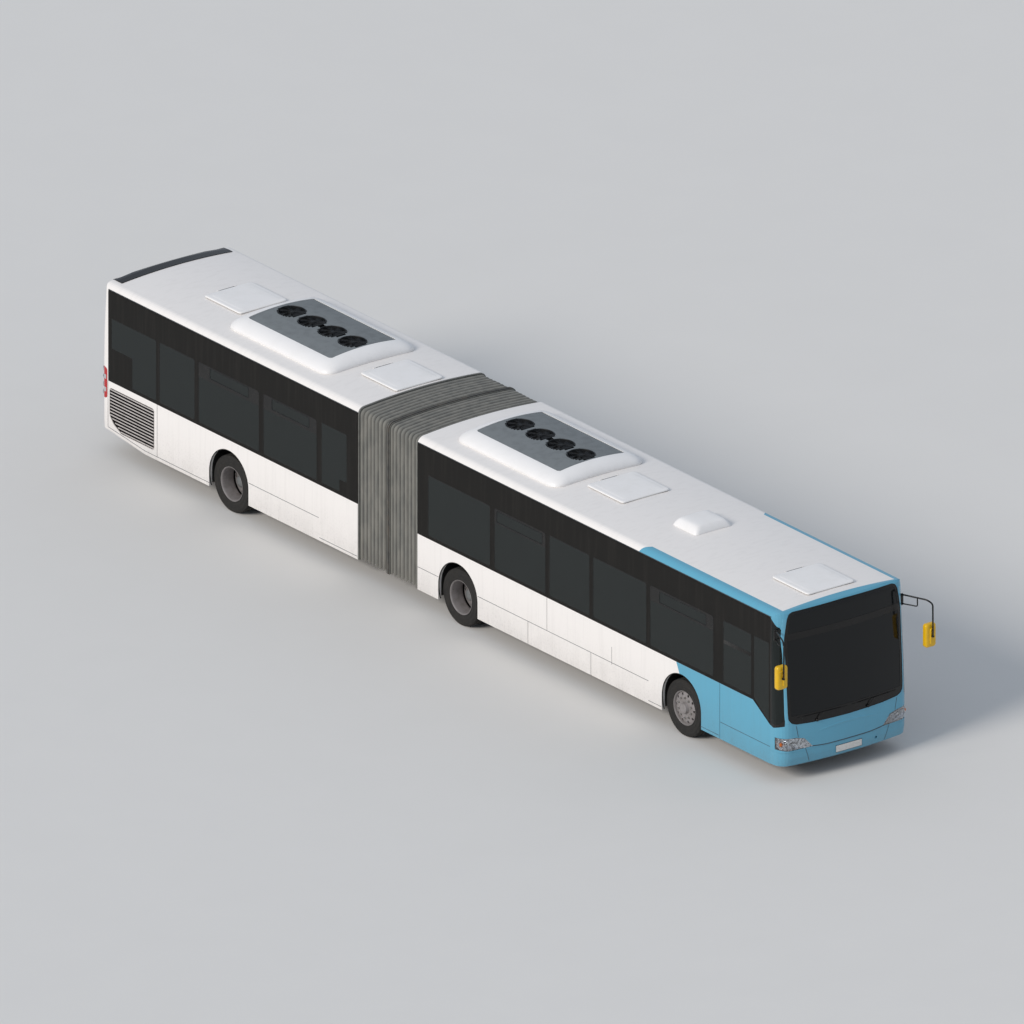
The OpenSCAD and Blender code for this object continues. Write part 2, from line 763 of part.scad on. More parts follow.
// Hoop half way along the bellows, with the round gangway floor it turns with
module bellows_frame() color("dimgray") {
    run(pivot_d - hoop_half, pivot_d + hoop_half)
        polygon(concat(section(5, 300), reversed(section(95, 300))));
    rod_z(0, pivot_d, floor_top - 35, floor_top, gangway_radius);
    both_sides() block(gangway_radius - 10, hw - 90, pivot_d - 60, pivot_d + 60, floor_top - 35, floor_top);
}

module bellows() color("gray")
    for (span = [[bellows_start, pivot_d - hoop_half], [pivot_d + hoop_half, bellows_end]])
        run(span[0], span[1]) polygon(concat(section(20, 300), reversed(section(80, 300))));

// ---- Rear end ----

lamp_outline = rounded(1100, 930, hw + 40, 1460, 30);
lid_hinge_z = lid_top - 8;
lid_hinge_x = [-500, 500];
lid_barrel_half = 32;

module tail_lamp_region(inset) both_sides()
    run(rear_cap_d + 110 + inset, bus_length + past) offset_outline(lamp_outline, 1200, 1195, inset);

module rear_window_region(inset) run(rear_cap_d - past, bus_length + past)
    polygon(rounded(inset - rear_window_half, rear_window_bottom + inset,
                    rear_window_half - inset, rear_window_top - inset, 60));

module rear_end() color("white") {
    difference() {
        intersection() {
            rear_shell(0, cap_wall);
            run(rear_cap_d - past, bus_length + past) polygon(section(0, 330));
        }
        rear_window_region(0);
        tail_lamp_region(0);
        block(-lid_half, lid_half, rear_cap_d - past, bus_length + past, lid_bottom, lid_top);
        // The skirt's bottom edge rises towards the rear
        side(-hw - past, body_width + 2 * past) polygon([[rear_cap_d - past, 0],
            [bus_length + past, 0], [bus_length + past, skirt_bottom + 140],
            [rear_cap_d - past, skirt_bottom + 113]]);
    }
    // Ears and pins the engine lid hangs from
    for (x = lid_hinge_x) {
        for (ear = [x - lid_barrel_half - 18, x + lid_barrel_half + 6])
            block(ear, ear + 12, bus_length - 24, bus_length - 6, lid_hinge_z - 8, lid_top + 5);
        rod_x(x - lid_barrel_half - 12, x + lid_barrel_half + 12, lid_hinge_d, lid_hinge_z, 4);
    }
}

module engine_lid() color("white") {
    difference() {
        intersection() {
            rear_shell(2, cap_wall);
            block(moving_gap - lid_half, lid_half - moving_gap, rear_cap_d - past, bus_length + past,
                  lid_bottom + moving_gap, lid_top - 25);
        }
        // Level air slots across the lid's upper half
        for (i = [0 : 5])
            block(-560, 560, rear_cap_d - past, bus_length + past, 900 + 50 * i, 922 + 50 * i);
    }
    for (x = lid_hinge_x) difference() {
        union() {
            rod_x(x - lid_barrel_half, x + lid_barrel_half, lid_hinge_d, lid_hinge_z, 8);
            block(x - lid_barrel_half, x + lid_barrel_half, lid_hinge_d - 6, lid_hinge_d + 2,
                  lid_top - 45, lid_hinge_z);
        }
        rod_x(x - 50, x + 50, lid_hinge_d, lid_hinge_z, 4 + running_gap);
    }
}

module tail_lamps() color("darkred") intersection() {
    rear_shell(0, cap_wall);
    tail_lamp_region(fit_gap);
}

module rear_windows() color("dimgray") {
    panes(rear_windows_right, hw, -1);
    panes(rear_windows_left, hw, 1);
    odd_pane(stepped_window, 11880, 1900, hw, -1);
    odd_pane(tower_window, 16750, 2000, hw, -1);
    intersection() {
        rear_shell(2, 2 + glass);
        rear_window_region(fit_gap);
    }
}

module engine() color("gray")
    block(-650, 650, podium_d + 350, rear_cap_d - 90, floor_bottom + 5, podium_top - 40);

// ---- Axles and wheels ----

kingpin_x = 1030;
eye_radius = 50;
eye_half = 60;

// Drop beam whose ends rise into eyes for the kingpins
module front_axle() color("dimgray") {
    half = [[740, 220], [860, 310], [985, 420], [985, tyre_radius + eye_half], [900, 500], [800, 400],
            [700, 300]];
    difference() {
        union() {
            run(front_axle_d - 45, front_axle_d + 45) polygon(concat(half, mirrored(half)));
            both_sides() {
                rod_z(kingpin_x, front_axle_d, tyre_radius - eye_half, tyre_radius + eye_half, eye_radius);
                rod_z(rail_x, front_axle_d, 290, floor_bottom, 70);
            }
        }
        both_sides() rod_z(kingpin_x, front_axle_d, 0, 1000, kingpin_radius + running_gap);
    }
}

// Kingpin, its two ears and the wheel's spindle
module knuckle() color("gray") {
    plate_x = kingpin_x + 55;
    ear = 28;
    for (z = [tyre_radius + eye_half + moving_gap, tyre_radius - eye_half - moving_gap - ear]) {
        rod_z(kingpin_x, front_axle_d, z, z + ear, 40);
        block(kingpin_x, plate_x + 20, front_axle_d - 40, front_axle_d + 40, z, z + ear);
    }
    rod_z(kingpin_x, front_axle_d, tyre_radius - eye_half - moving_gap - 5,
          tyre_radius + eye_half + moving_gap + 5, kingpin_radius);
    block(plate_x, plate_x + 20, front_axle_d - 60, front_axle_d + 60,
          tyre_radius - eye_half - moving_gap - ear, tyre_radius + eye_half + moving_gap + ear);
    rod_x(plate_x + 5, track_half + 128, front_axle_d, tyre_radius, front_spindle_radius);
}
module knuckle_left() knuckle();
module knuckle_right() mirror([1, 0, 0]) knuckle();

// Low cross tube between two drop housings that carry the hubs' spindles
module driven_axle(d) color("dimgray") {
    housing_x = 630;
    rod_x(-560, 560, d, 250, 70);
    both_sides() {
        run(d - 90, d + 90) polygon([[540, 180], [housing_x, 180], [housing_x, 570], [540, 570]]);
        rod_x(housing_x - 10, track_half - 87, d, tyre_radius, rear_spindle_radius);
        // Spring arms with an air spring at each end
        block(370, 450, d - 400, d + 400, 215, 265);
        for (end = [-340, 340]) rod_z(410, d + end, 260, floor_bottom, 85);
    }
}
module middle_axle() driven_axle(middle_axle_d);
module rear_axle() driven_axle(rear_axle_d);

// Turns a [radius, x] outline about an axle on the left side
module turned(d) at(0, d, tyre_radius) rotate([0, 90, 0]) rotate_extrude($fn = 96) children();

rim_radius = 286;
module tyre_outline(centre) {
    half = tyre_width / 2;
    shoulder = 38;
    polygon(concat([[rim_radius, centre - half + 22], [rim_radius + 22, centre - half]],
        arc(tyre_radius - shoulder, centre - half + shoulder, shoulder, -90, 0, 5),
        arc(tyre_radius - shoulder, centre + half - shoulder, shoulder, 0, 90, 5),
        [[rim_radius + 22, centre + half], [rim_radius, centre + half - 22]]));
}

module tyre(d, centres) color("black") turned(d) for (c = centres) tyre_outline(c);

barrel_outer = rim_radius - seat_gap;
barrel_inner = 272;
barrel_half = 125;

// Hub with its cap, disc and barrel
module front_rim(d) color("darkgray") turned(d) {
    bore = front_spindle_radius + running_gap;
    first = track_half - barrel_half;
    last = track_half + barrel_half;
    disc = track_half + 92;
    cap = track_half + 131;
    polygon([[bore, track_half + 20], [88, track_half + 20], [88, disc - 6], [130, disc + 4],
             [180, disc + 4], [barrel_inner, disc - 24], [barrel_inner, first], [barrel_outer, first],
             [barrel_outer, last], [barrel_inner, last], [barrel_inner, disc - 8], [180, disc + 20],
             [130, disc + 20], [88, disc + 12], [88, cap], [80, cap + 24], [0, cap + 29], [0, cap],
             [bore, cap]]);
}

module driven_rims(d) color("darkgray") turned(d) {
    bore = rear_spindle_radius + running_gap;
    middle = track_half - twin_spacing / 2;
    first = middle - twin_spacing / 2 - barrel_half;
    last = track_half + barrel_half;
    cap = track_half - 80;
    polygon([[bore, middle - 230], [105, middle - 230], [105, middle - 12], [barrel_inner, middle - 12],
             [barrel_inner, first], [barrel_outer, first], [barrel_outer, last], [barrel_inner, last],
             [barrel_inner, middle + 12], [105, middle + 12], [105, cap], [95, cap + 40], [70, cap + 60],
             [0, cap + 60], [0, cap], [bore, cap]]);
}

module right_side() mirror([1, 0, 0]) children();
twin_centres = [track_half, track_half - twin_spacing];

module front_tyre_left() tyre(front_axle_d, [track_half]);
module front_tyre_right() right_side() tyre(front_axle_d, [track_half]);
module middle_tyres_left() tyre(middle_axle_d, twin_centres);
module middle_tyres_right() right_side() tyre(middle_axle_d, twin_centres);
module rear_tyres_left() tyre(rear_axle_d, twin_centres);
module rear_tyres_right() right_side() tyre(rear_axle_d, twin_centres);
module front_rim_left() front_rim(front_axle_d);
module front_rim_right() right_side() front_rim(front_axle_d);
module middle_rims_left() driven_rims(middle_axle_d);
module middle_rims_right() right_side() driven_rims(middle_axle_d);
module rear_rims_left() driven_rims(rear_axle_d);
module rear_rims_right() right_side() driven_rims(rear_axle_d);

// ---- Doors ----

// Leaf on a vertical post: frame, pane and the pins that turn in the wall's bores
module door_leaf(d0, leading) color("black") {
    first = leading ? d0 + moving_gap : d0 + door_width - moving_gap - leaf_width;
    pivot = leading ? d0 + door_pivot_inset : d0 + door_width - door_pivot_inset;
    height = leaf_top - leaf_bottom;
    pin = 18;
    side(leaf_x, leaf_thickness) difference() {
        translate([first, leaf_bottom]) square([leaf_width, height]);
        polygon(rounded(first + 70, leaf_bottom + 90, first + leaf_width - 70, leaf_top - 70, 50));
    }
    side(leaf_x + leaf_thickness / 2 - glass / 2, glass)
        translate([first + 60, leaf_bottom + 80]) square([leaf_width - 120, height - 140]);
    rod_z(door_pivot_x, pivot, leaf_bottom, leaf_top, 14);
    rod_z(door_pivot_x, pivot, leaf_bottom - pin, leaf_top + pin, door_pin_radius);
}

module front_door_leaf_1() door_leaf(front_door_d, true);
module front_door_leaf_2() door_leaf(front_door_d, false);
module middle_door_leaf_1() door_leaf(middle_door_d, true);
module middle_door_leaf_2() door_leaf(middle_door_d, false);
module rear_door_leaf_1() door_leaf(rear_door_d, true);
module rear_door_leaf_2() door_leaf(rear_door_d, false);

front_floor();
front_wall_right();
front_wall_left();
front_roof();
front_mask();
front_bumper();
windscreen();
front_windows();
headlamps();
front_air_conditioner();
roof_vent();
mirrors();
dashboard();
front_seats();
driver_seat();
front_axle();
middle_axle();
turntable();
rear_floor();
cooling_tower();
rear_wall_right();
rear_wall_left();
rear_roof();
rear_end();
rear_windows();
tail_lamps();
rear_air_conditioner();
rear_seats();
rear_axle();
engine();
side_grille();
bellows_frame();
bellows();
engine_lid();
roof_hatch_1();
roof_hatch_2();
roof_hatch_3();
roof_hatch_4();
knuckle_left();
knuckle_right();
front_tyre_left();
front_tyre_right();
middle_tyres_left();
middle_tyres_right();
rear_tyres_left();
rear_tyres_right();
front_rim_left();
front_rim_right();
middle_rims_left();
middle_rims_right();
rear_rims_left();
rear_rims_right();
front_door_leaf_1();
front_door_leaf_2();
middle_door_leaf_1();
middle_door_leaf_2();
rear_door_leaf_1();
rear_door_leaf_2();
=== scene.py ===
import math
import bmesh
import bpy
import numpy as np
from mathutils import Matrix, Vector


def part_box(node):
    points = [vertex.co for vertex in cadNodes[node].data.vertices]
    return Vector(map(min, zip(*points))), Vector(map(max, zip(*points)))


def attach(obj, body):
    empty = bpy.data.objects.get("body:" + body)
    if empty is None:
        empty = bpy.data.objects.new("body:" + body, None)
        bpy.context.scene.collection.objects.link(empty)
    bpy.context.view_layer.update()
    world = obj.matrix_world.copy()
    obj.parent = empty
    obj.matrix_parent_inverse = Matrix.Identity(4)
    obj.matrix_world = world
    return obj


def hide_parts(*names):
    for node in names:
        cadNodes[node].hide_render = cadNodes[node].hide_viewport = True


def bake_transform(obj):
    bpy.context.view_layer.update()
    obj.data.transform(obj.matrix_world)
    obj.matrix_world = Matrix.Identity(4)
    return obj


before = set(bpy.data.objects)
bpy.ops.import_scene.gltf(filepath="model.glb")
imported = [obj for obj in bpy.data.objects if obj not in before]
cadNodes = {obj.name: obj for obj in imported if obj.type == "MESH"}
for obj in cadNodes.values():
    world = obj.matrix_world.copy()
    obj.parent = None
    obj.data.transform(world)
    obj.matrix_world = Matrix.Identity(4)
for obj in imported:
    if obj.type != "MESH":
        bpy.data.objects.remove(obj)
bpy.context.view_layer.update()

# Places: d is the distance behind the front end in metres, x is to the bus's left, z is up
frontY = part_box("front_mask")[0].y
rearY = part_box("rear_end")[1].y
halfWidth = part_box("front_wall_left")[1].x
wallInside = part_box("front_wall_left")[0].x
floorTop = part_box("front_floor")[1].z
axleD = {"front": 2.705, "middle": 8.55, "rear": 14.54}
gangway = {"start": 9.605, "end": 11.17}
roof = {"crown": 2.95, "crownRadius": 12.35, "cantrailRadius": .13, "straightUpTo": 2.766}


def yAt(d):
    return frontY + d


def place(points):
    # (x, d, z) to the frame's (x, y, z)
    points = np.array(points, float)
    points[..., 1] += frontY
    return points


def roofZ(x):
    # height of the crown's arc above a place x across the bus
    return roof["crown"] - roof["crownRadius"] + np.sqrt(roof["crownRadius"] ** 2 - np.asarray(x) ** 2)


# Mesh tools: every shape is a grid of points worked out as one array

def grid(points, closeRows=False, closeColumns=False):
    # four-cornered faces between neighbours in a grid of rows and columns
    rows, columns = points.shape[:2]
    index = np.arange(rows * columns).reshape(rows, columns)
    if closeRows:
        index = np.vstack([index, index[:1]])
    if closeColumns:
        index = np.hstack([index, index[:, :1]])
    quads = np.stack([index[:-1, :-1], index[1:, :-1], index[1:, 1:], index[:-1, 1:]], -1)
    return points.reshape(-1, 3), quads.reshape(-1, 4).tolist()


def loft(rings):
    # closed outlines joined one after another, with the end ones filled
    points, faces = grid(rings, closeColumns=True)
    rows, columns = rings.shape[:2]
    faces.append(list(range(columns)))
    faces.append(list(range(rows * columns - 1, (rows - 1) * columns - 1, -1)))
    return points, faces


def laid(outline, middle, flat):
    # an outline about a middle point, in the plane square to one axis (0 across, 1 along, 2 upright)
    return np.insert(outline, flat, 0.0, axis=1) + middle


def subdivided(outline, count):
    # the same closed outline, flat or in space, with evenly spaced points
    closed = np.vstack([outline, outline[:1]])
    reach = np.concatenate([[0], np.cumsum(np.linalg.norm(np.diff(closed, axis=0), axis=1))])
    at = np.linspace(0, reach[-1], count + 1)[:-1]
    return np.stack([np.interp(at, reach, column) for column in closed.T], -1)


def circle(radius, count):
    # points at equal angles round a circle
    angle = np.arange(count) * 2 * math.pi / count
    return np.stack([radius * np.cos(angle), radius * np.sin(angle)], -1)


def spin(angle):
    # turns flat points about their origin
    return np.array([[math.cos(angle), math.sin(angle)], [-math.sin(angle), math.cos(angle)]])


def roundedBox(width, height, radius, steps=4):
    # a rectangle's outline about its middle, each corner a quarter circle
    angle = np.linspace(0, math.pi / 2, steps + 1)
    quarter = np.stack([np.cos(angle), np.sin(angle)], -1) * radius
    corners = np.array([[1, 1], [-1, 1], [-1, -1], [1, -1]]) * [width / 2 - radius, height / 2 - radius]
    return np.concatenate([quarter @ spin(i * math.pi / 2) + corner for i, corner in enumerate(corners)])


def sweep(path, outline, closed=False, up=(0, 0, 1), widths=None):
    # an outline of (across, up) points carried along a path, square to it at every point
    path = np.array(path, float)
    if closed:
        ahead = np.roll(path, -1, 0) - np.roll(path, 1, 0)
    else:
        ahead = np.gradient(path, axis=0)
    ahead /= np.linalg.norm(ahead, axis=1, keepdims=True)
    across = np.cross(ahead, np.array(up, float))
    across /= np.linalg.norm(across, axis=1, keepdims=True)
    upward = np.cross(across, ahead)
    size = np.ones(len(path)) if widths is None else np.array(widths, float)
    rings = path[:, None] + size[:, None, None] * (
        outline[None, :, :1] * across[:, None] + outline[None, :, 1:] * upward[:, None])
    if closed:
        return grid(rings, closeRows=True, closeColumns=True)
    return loft(rings)


def boxAt(low, high, bevel=.004):
    # a box between two (x, d, z) corners with its upright and level edges cut back a little
    low, high = place(low), place(high)
    middle, size = (low + high) / 2, high - low
    cut = min(bevel, .45 * size.min())
    steps = np.array([0, cut, size[2] - cut, size[2]]) + low[2]
    inset = np.array([cut, 0, 0, cut])
    rings = []
    for z, i in zip(steps, inset):
        outline = roundedBox(size[0] - 2 * i, size[1] - 2 * i, max(cut - i, cut * .3), 2)
        rings.append(np.column_stack([outline + middle[:2], np.full(len(outline), z)]))
    return loft(np.array(rings))


def mirrorX(part):
    points, faces = part
    return points * [-1, 1, 1], [f[::-1] for f in faces]


def mirrored(parts):
    # the same parts on the other side, each with its material's number
    return [(*mirrorX(part[:2]), *part[2:]) for part in parts]


def moved(part, shift):
    return part[0] + np.array(shift, float), part[1]


def piece(name, parts, materials, body, smooth=35, closed=True, bevel=0, thickness=0, replaces=()):
    # one object out of (points, faces) parts; a part may add the number of its material
    points, faces, numbers, start = [], [], [], 0
    for part in parts:
        points.append(part[0])
        faces += [[i + start for i in face] for face in part[1]]
        numbers += [part[2] if len(part) > 2 else 0] * len(part[1])
        start += len(part[0])
    mesh = bpy.data.meshes.new(name)
    mesh.from_pydata(np.concatenate(points).tolist(), [], faces)
    mesh.polygons.foreach_set("material_index", numbers)
    for material in materials:
        mesh.materials.append(material)
    work = bmesh.new()
    work.from_mesh(mesh)
    bmesh.ops.remove_doubles(work, verts=work.verts, dist=.00002)
    bmesh.ops.dissolve_degenerate(work, edges=work.edges, dist=.00001)
    if closed:
        bmesh.ops.recalc_face_normals(work, faces=work.faces)
    for face in work.faces:
        face.smooth = True
    for edge in work.edges:
        edge.smooth = len(edge.link_faces) == 2 and edge.calc_face_angle(0) < math.radians(smooth)
    work.to_mesh(mesh)
    work.free()
    thing = bpy.data.objects.new(name, mesh)
    bpy.context.scene.collection.objects.link(thing)
    if thickness:
        solid = thing.modifiers.new("thickness", "SOLIDIFY")
        solid.thickness, solid.offset = thickness, -1
    if bevel:
        edge = thing.modifiers.new("soft edges", "BEVEL")
        edge.width, edge.segments, edge.limit_method = bevel, 2, "ANGLE"
        edge.angle_limit, edge.harden_normals = math.radians(40), False
    if body:
        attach(thing, body)
    if replaces:
        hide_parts(*replaces)
    return thing

# Finishes

def tone(red, green, blue):
    # 0 to 255 screen values to the linear colour that a shader takes
    value = np.array([red, green, blue]) / 255
    value = np.where(value <= .04045, value / 12.92, ((value + .055) / 1.055) ** 2.4)
    return (*value.tolist(), 1.0)


def shaded(colour, share):
    return (*[channel * share for channel in colour[:3]], 1.0)


class Board:
    # lays out a shader's nodes and joins them
    def __init__(self, tree):
        self.tree = tree

    def add(self, kind, values=None, **settings):
        node = self.tree.nodes.new(kind)
        for key, value in settings.items():
            setattr(node, key, value)
        for key, value in (values or {}).items():
            self.feed(node.inputs[key], value)
        return node

    def feed(self, socket, value):
        if isinstance(value, bpy.types.NodeSocket):
            self.tree.links.new(value, socket)
        else:
            socket.default_value = value

    def math(self, operation, a, b=0.0):
        return self.add("ShaderNodeMath", {0: a, 1: b}, operation=operation).outputs[0]

    def above(self, value, edge, soft=.002):
        if isinstance(edge, bpy.types.NodeSocket):
            value, edge = self.math("SUBTRACT", value, edge), 0.0
        node = self.add("ShaderNodeMapRange",
                        {"Value": value, "From Min": edge - soft, "From Max": edge + soft},
                        interpolation_type="SMOOTHSTEP")
        return node.outputs[0]

    def below(self, value, edge, soft=.002):
        return self.math("SUBTRACT", 1.0, self.above(value, edge, soft))

    def all(self, *masks):
        joined = masks[0]
        for mask in masks[1:]:
            joined = self.math("MULTIPLY", joined, mask)
        return joined

    def any(self, *masks):
        joined = masks[0]
        for mask in masks[1:]:
            joined = self.math("MAXIMUM", joined, mask)
        return joined

    def between(self, value, low, high, soft=.002):
        return self.all(self.above(value, low, soft), self.below(value, high, soft))

    def mix(self, mask, a, b):
        node = self.add("ShaderNodeMix", {0: mask, 6: a, 7: b}, data_type="RGBA")
        return node.outputs[2]

    def noise(self, scale, detail=4.0, stretch=(1, 1, 1), rough=.55):
        source = self.add("ShaderNodeTexCoord").outputs["Object"]
        if stretch != (1, 1, 1):
            source = self.add("ShaderNodeMapping", {"Vector": source, "Scale": stretch}).outputs[0]
        return self.add("ShaderNodeTexNoise", {"Vector": source, "Scale": scale, "Detail": detail,
                                               "Roughness": rough}).outputs["Fac"]

    def placed(self):
        # x, distance behind the front end, height, and which way the surface faces
        coordinates = self.add("ShaderNodeTexCoord")
        xyz = self.add("ShaderNodeSeparateXYZ", {0: coordinates.outputs["Object"]})
        facing = self.add("ShaderNodeSeparateXYZ", {0: coordinates.outputs["Normal"]})
        return xyz.outputs[0], self.math("SUBTRACT", xyz.outputs[1], frontY), xyz.outputs[2], facing


def makeGroup(name, inputs, outputs):
    tree = bpy.data.node_groups.new(name, "ShaderNodeTree")
    for label, kind, value in inputs:
        tree.interface.new_socket(label, in_out="INPUT", socket_type="NodeSocket" + kind).default_value = value
    for label, kind in outputs:
        tree.interface.new_socket(label, in_out="OUTPUT", socket_type="NodeSocket" + kind)
    return tree, Board(tree), tree.nodes.new("NodeGroupInput").outputs, tree.nodes.new("NodeGroupOutput").inputs


def buildWeather():
    # road dirt: thickest low down, in soft streaks, and a fine ripple as sprayed paint has
    tree, board, given, result = makeGroup(
        "roadWeather",
        [("Clean", "Color", (1, 1, 1, 1)), ("Dirt", "Color", (.1, .09, .08, 1)), ("Amount", "Float", .5),
         ("Top", "Float", 1.0), ("Roughness", "Float", .3)],
        [("Color", "Color"), ("Roughness", "Float"), ("Height", "Float")])
    height = board.add("ShaderNodeSeparateXYZ",
                       {0: board.add("ShaderNodeTexCoord").outputs["Object"]}).outputs[2]
    low = board.add("ShaderNodeMapRange", {"Value": height, "From Min": given["Top"], "From Max": .22,
                                           "To Min": 0.0, "To Max": 1.0}).outputs[0]
    patches = board.noise(2.6, 6.0)
    streaks = board.noise(5.0, 5.0, (1, 3, .18))
    fine = board.noise(34.0, 5.0)
    cloud = board.math("MULTIPLY", board.math("POWER", low, 1.7), board.math("MULTIPLY", patches, 1.5))
    drips = board.math("MULTIPLY", board.above(streaks, .58, .12), .16)
    specks = board.math("MULTIPLY", board.above(fine, .6, .1), board.math("MULTIPLY", low, .5))
    mask = board.math("MULTIPLY", board.math("ADD", board.math("ADD", cloud, drips), specks), given["Amount"])
    mask = board.add("ShaderNodeClamp", {0: mask}).outputs[0]
    board.feed(result["Color"], board.mix(mask, given["Clean"], given["Dirt"]))
    board.feed(result["Roughness"], board.math("ADD", given["Roughness"], board.math("MULTIPLY", mask, .4)))
    board.feed(result["Height"], board.math("ADD", board.noise(95.0, 2.0), board.math("MULTIPLY", mask, .5)))
    return tree


def buildWearAndReflection():
    # a used surface: paler scuffed patches, darker settled dust and a fine grain; on the lamp housings the same
    # patches are a painted reflection
    tree, board, given, result = makeGroup(
        "wearAndPaintedReflection",
        [("Base", "Color", (.5, .5, .5, 1)), ("WornAndReflection", "Color", (.6, .6, .6, 1)), ("Amount", "Float", .4),
         ("Scale", "Float", 8.0), ("Grain", "Float", 120.0), ("Roughness", "Float", .5)],
        [("Color", "Color"), ("Roughness", "Float"), ("Height", "Float")])
    source = board.add("ShaderNodeTexCoord").outputs["Object"]
    patch = board.add("ShaderNodeTexNoise", {"Vector": source, "Scale": given["Scale"], "Detail": 7.0,
                                             "Roughness": .62}).outputs["Fac"]
    grain = board.add("ShaderNodeTexNoise",
                      {"Vector": source, "Scale": given["Grain"], "Detail": 3.0}).outputs["Fac"]
    mask = board.math("MULTIPLY", board.above(patch, .55, .14), given["Amount"])
    fine = board.math("MULTIPLY", board.math("SUBTRACT", grain, .5),
                      board.math("MULTIPLY", given["Amount"], .5))
    mask = board.add("ShaderNodeClamp", {0: board.math("ADD", mask, fine)}).outputs[0]
    board.feed(result["Color"], board.mix(mask, given["Base"], given["WornAndReflection"]))
    board.feed(result["Roughness"], board.math("ADD", given["Roughness"], board.math("MULTIPLY", mask, .18)))
    board.feed(result["Height"], board.math("ADD", grain, board.math("MULTIPLY", patch, .4)))
    return tree


weather, wearAndReflection = buildWeather(), buildWearAndReflection()
made = {}


def startMaterial(name, **shader):
    material = bpy.data.materials.new(name)
    material.use_nodes = True
    made[name] = material
    principled = material.node_tree.nodes["Principled BSDF"]
    for key, value in shader.items():
        principled.inputs[key.replace("_", " ")].default_value = value
    return Board(material.node_tree), principled


def bumped(board, principled, height, strength, distance):
    bump = board.add("ShaderNodeBump", {"Height": height, "Strength": strength, "Distance": distance})
    board.feed(principled.inputs["Normal"], bump.outputs[0])


def weathered(board, principled, clean, amount=.5, top=1.0, roughness=.3, dirt=(.13, .115, .1, 1),
              strength=.12, distance=.002):
    node = board.add("ShaderNodeGroup", node_tree=weather)
    for key, value in {"Clean": clean, "Dirt": dirt, "Amount": amount, "Top": top,
                       "Roughness": roughness}.items():
        board.feed(node.inputs[key], value)
    board.feed(principled.inputs["Base Color"], node.outputs["Color"])
    board.feed(principled.inputs["Roughness"], node.outputs["Roughness"])
    bumped(board, principled, node.outputs["Height"], strength, distance)


def wornAndReflected(board, principled, base, rubbedAndReflected, amount=.4, scale=8.0, grain=120.0, roughness=.5,
         strength=.2, distance=.001):
    node = board.add("ShaderNodeGroup", node_tree=wearAndReflection)
    for key, value in {"Base": base, "WornAndReflection": rubbedAndReflected, "Amount": amount, "Scale": scale, "Grain": grain,
                       "Roughness": roughness}.items():
        board.feed(node.inputs[key], value)
    board.feed(principled.inputs["Base Color"], node.outputs["Color"])
    board.feed(principled.inputs["Roughness"], node.outputs["Roughness"])
    bumped(board, principled, node.outputs["Height"], strength, distance)


livery = {
    "white": tone(238, 234, 230), "blue": tone(96, 164, 190), "black": tone(19, 17, 14),
    "beltZ": 1.245, "bandTopZ": 2.805, "bandEndD": 17.692, "blueBeltD": 2.84, "blueSlant": .46,
    "cantrailEndD": 3.76, "cantrailX": 1.11, "roofStartD": .27, "wainscot": tone(196, 198, 198),
    "ceiling": tone(226, 226, 222),
}


def buildLivery():
    # white coachwork with a black band at the windows and a blue front, and trim where it faces inwards
    board, shader = startMaterial("livery", Coat_Roughness=.12, Specular_IOR_Level=.15)
    x, d, z, facing = board.placed()
    side = board.math("ABSOLUTE", x)
    slantD = board.math("ADD", livery["blueBeltD"], board.math("MULTIPLY", board.math(
        "SUBTRACT", z, livery["beltZ"]), livery["blueSlant"]))
    lower = board.all(board.below(z, livery["beltZ"]), board.below(d, slantD))
    slantEnd = board.math("ADD", livery["cantrailEndD"], board.math("MULTIPLY", board.math(
        "SUBTRACT", side, 1.2), .9))
    cantrail = board.all(board.above(z, livery["bandTopZ"]), board.below(d, slantEnd),
                         board.above(side, livery["cantrailX"]))
    nose = board.all(board.above(z, livery["bandTopZ"]), board.below(d, livery["roofStartD"]))
    colour = board.mix(board.any(lower, cantrail, nose), livery["white"], livery["blue"])
    # the band dips below the belt beside the driver
    dipZ = board.math("SUBTRACT", livery["beltZ"], board.math("MULTIPLY", board.math("MAXIMUM", board.math(
        "SUBTRACT", .835, d), 0.0), .64))
    band = board.all(board.above(z, dipZ), board.below(z, livery["bandTopZ"]),
                     board.above(side, wallInside + .002), board.below(d, livery["bandEndD"]))
    colour = board.mix(band, colour, livery["black"])
    board.feed(shader.inputs["Coat Weight"], board.math("SUBTRACT", .3, board.math("MULTIPLY", band, .3)))
    inward = board.below(board.math("MULTIPLY", x, facing.outputs[0]), -.5, .1)
    under = board.all(board.below(facing.outputs[2], -.5, .1), board.above(z, 2.6))
    colour = board.mix(inward, colour, livery["wainscot"])
    colour = board.mix(under, colour, livery["ceiling"])
    weathered(board, shader, colour, amount=.26, top=1.1, roughness=.3, strength=.05)


def buildFrontPaint():
    # the blue front end: black round the quarter lights
    board, shader = startMaterial("frontPaint", Coat_Weight=.3, Coat_Roughness=.1, Specular_IOR_Level=.3)
    x, d, z, facing = board.placed()
    side = board.math("ABSOLUTE", x)
    colour = board.mix(board.all(board.above(d, livery["roofStartD"]), board.above(z, 2.8),
                                 board.below(side, livery["cantrailX"])), livery["blue"], livery["white"])
    # the corner's black: bounded by a slanted foot, the windscreen pillar and a curved head
    foot = board.math("ADD", .935, board.math("MULTIPLY", board.math("ABSOLUTE", board.math(
        "SUBTRACT", d, .30)), .30))
    head = board.math("ADD", 2.5, board.math("MULTIPLY", board.math("SUBTRACT", d, .13), 1.22))
    corner = board.all(board.above(d, .118), board.above(z, foot), board.below(z, head),
                       board.below(z, livery["bandTopZ"]), board.above(side, 1.1))
    colour = board.mix(corner, colour, livery["black"])
    inward = board.above(facing.outputs[1], .55, .1)
    colour = board.mix(inward, colour, livery["black"])
    weathered(board, shader, colour, amount=.26, top=.95, roughness=.28, strength=.05)


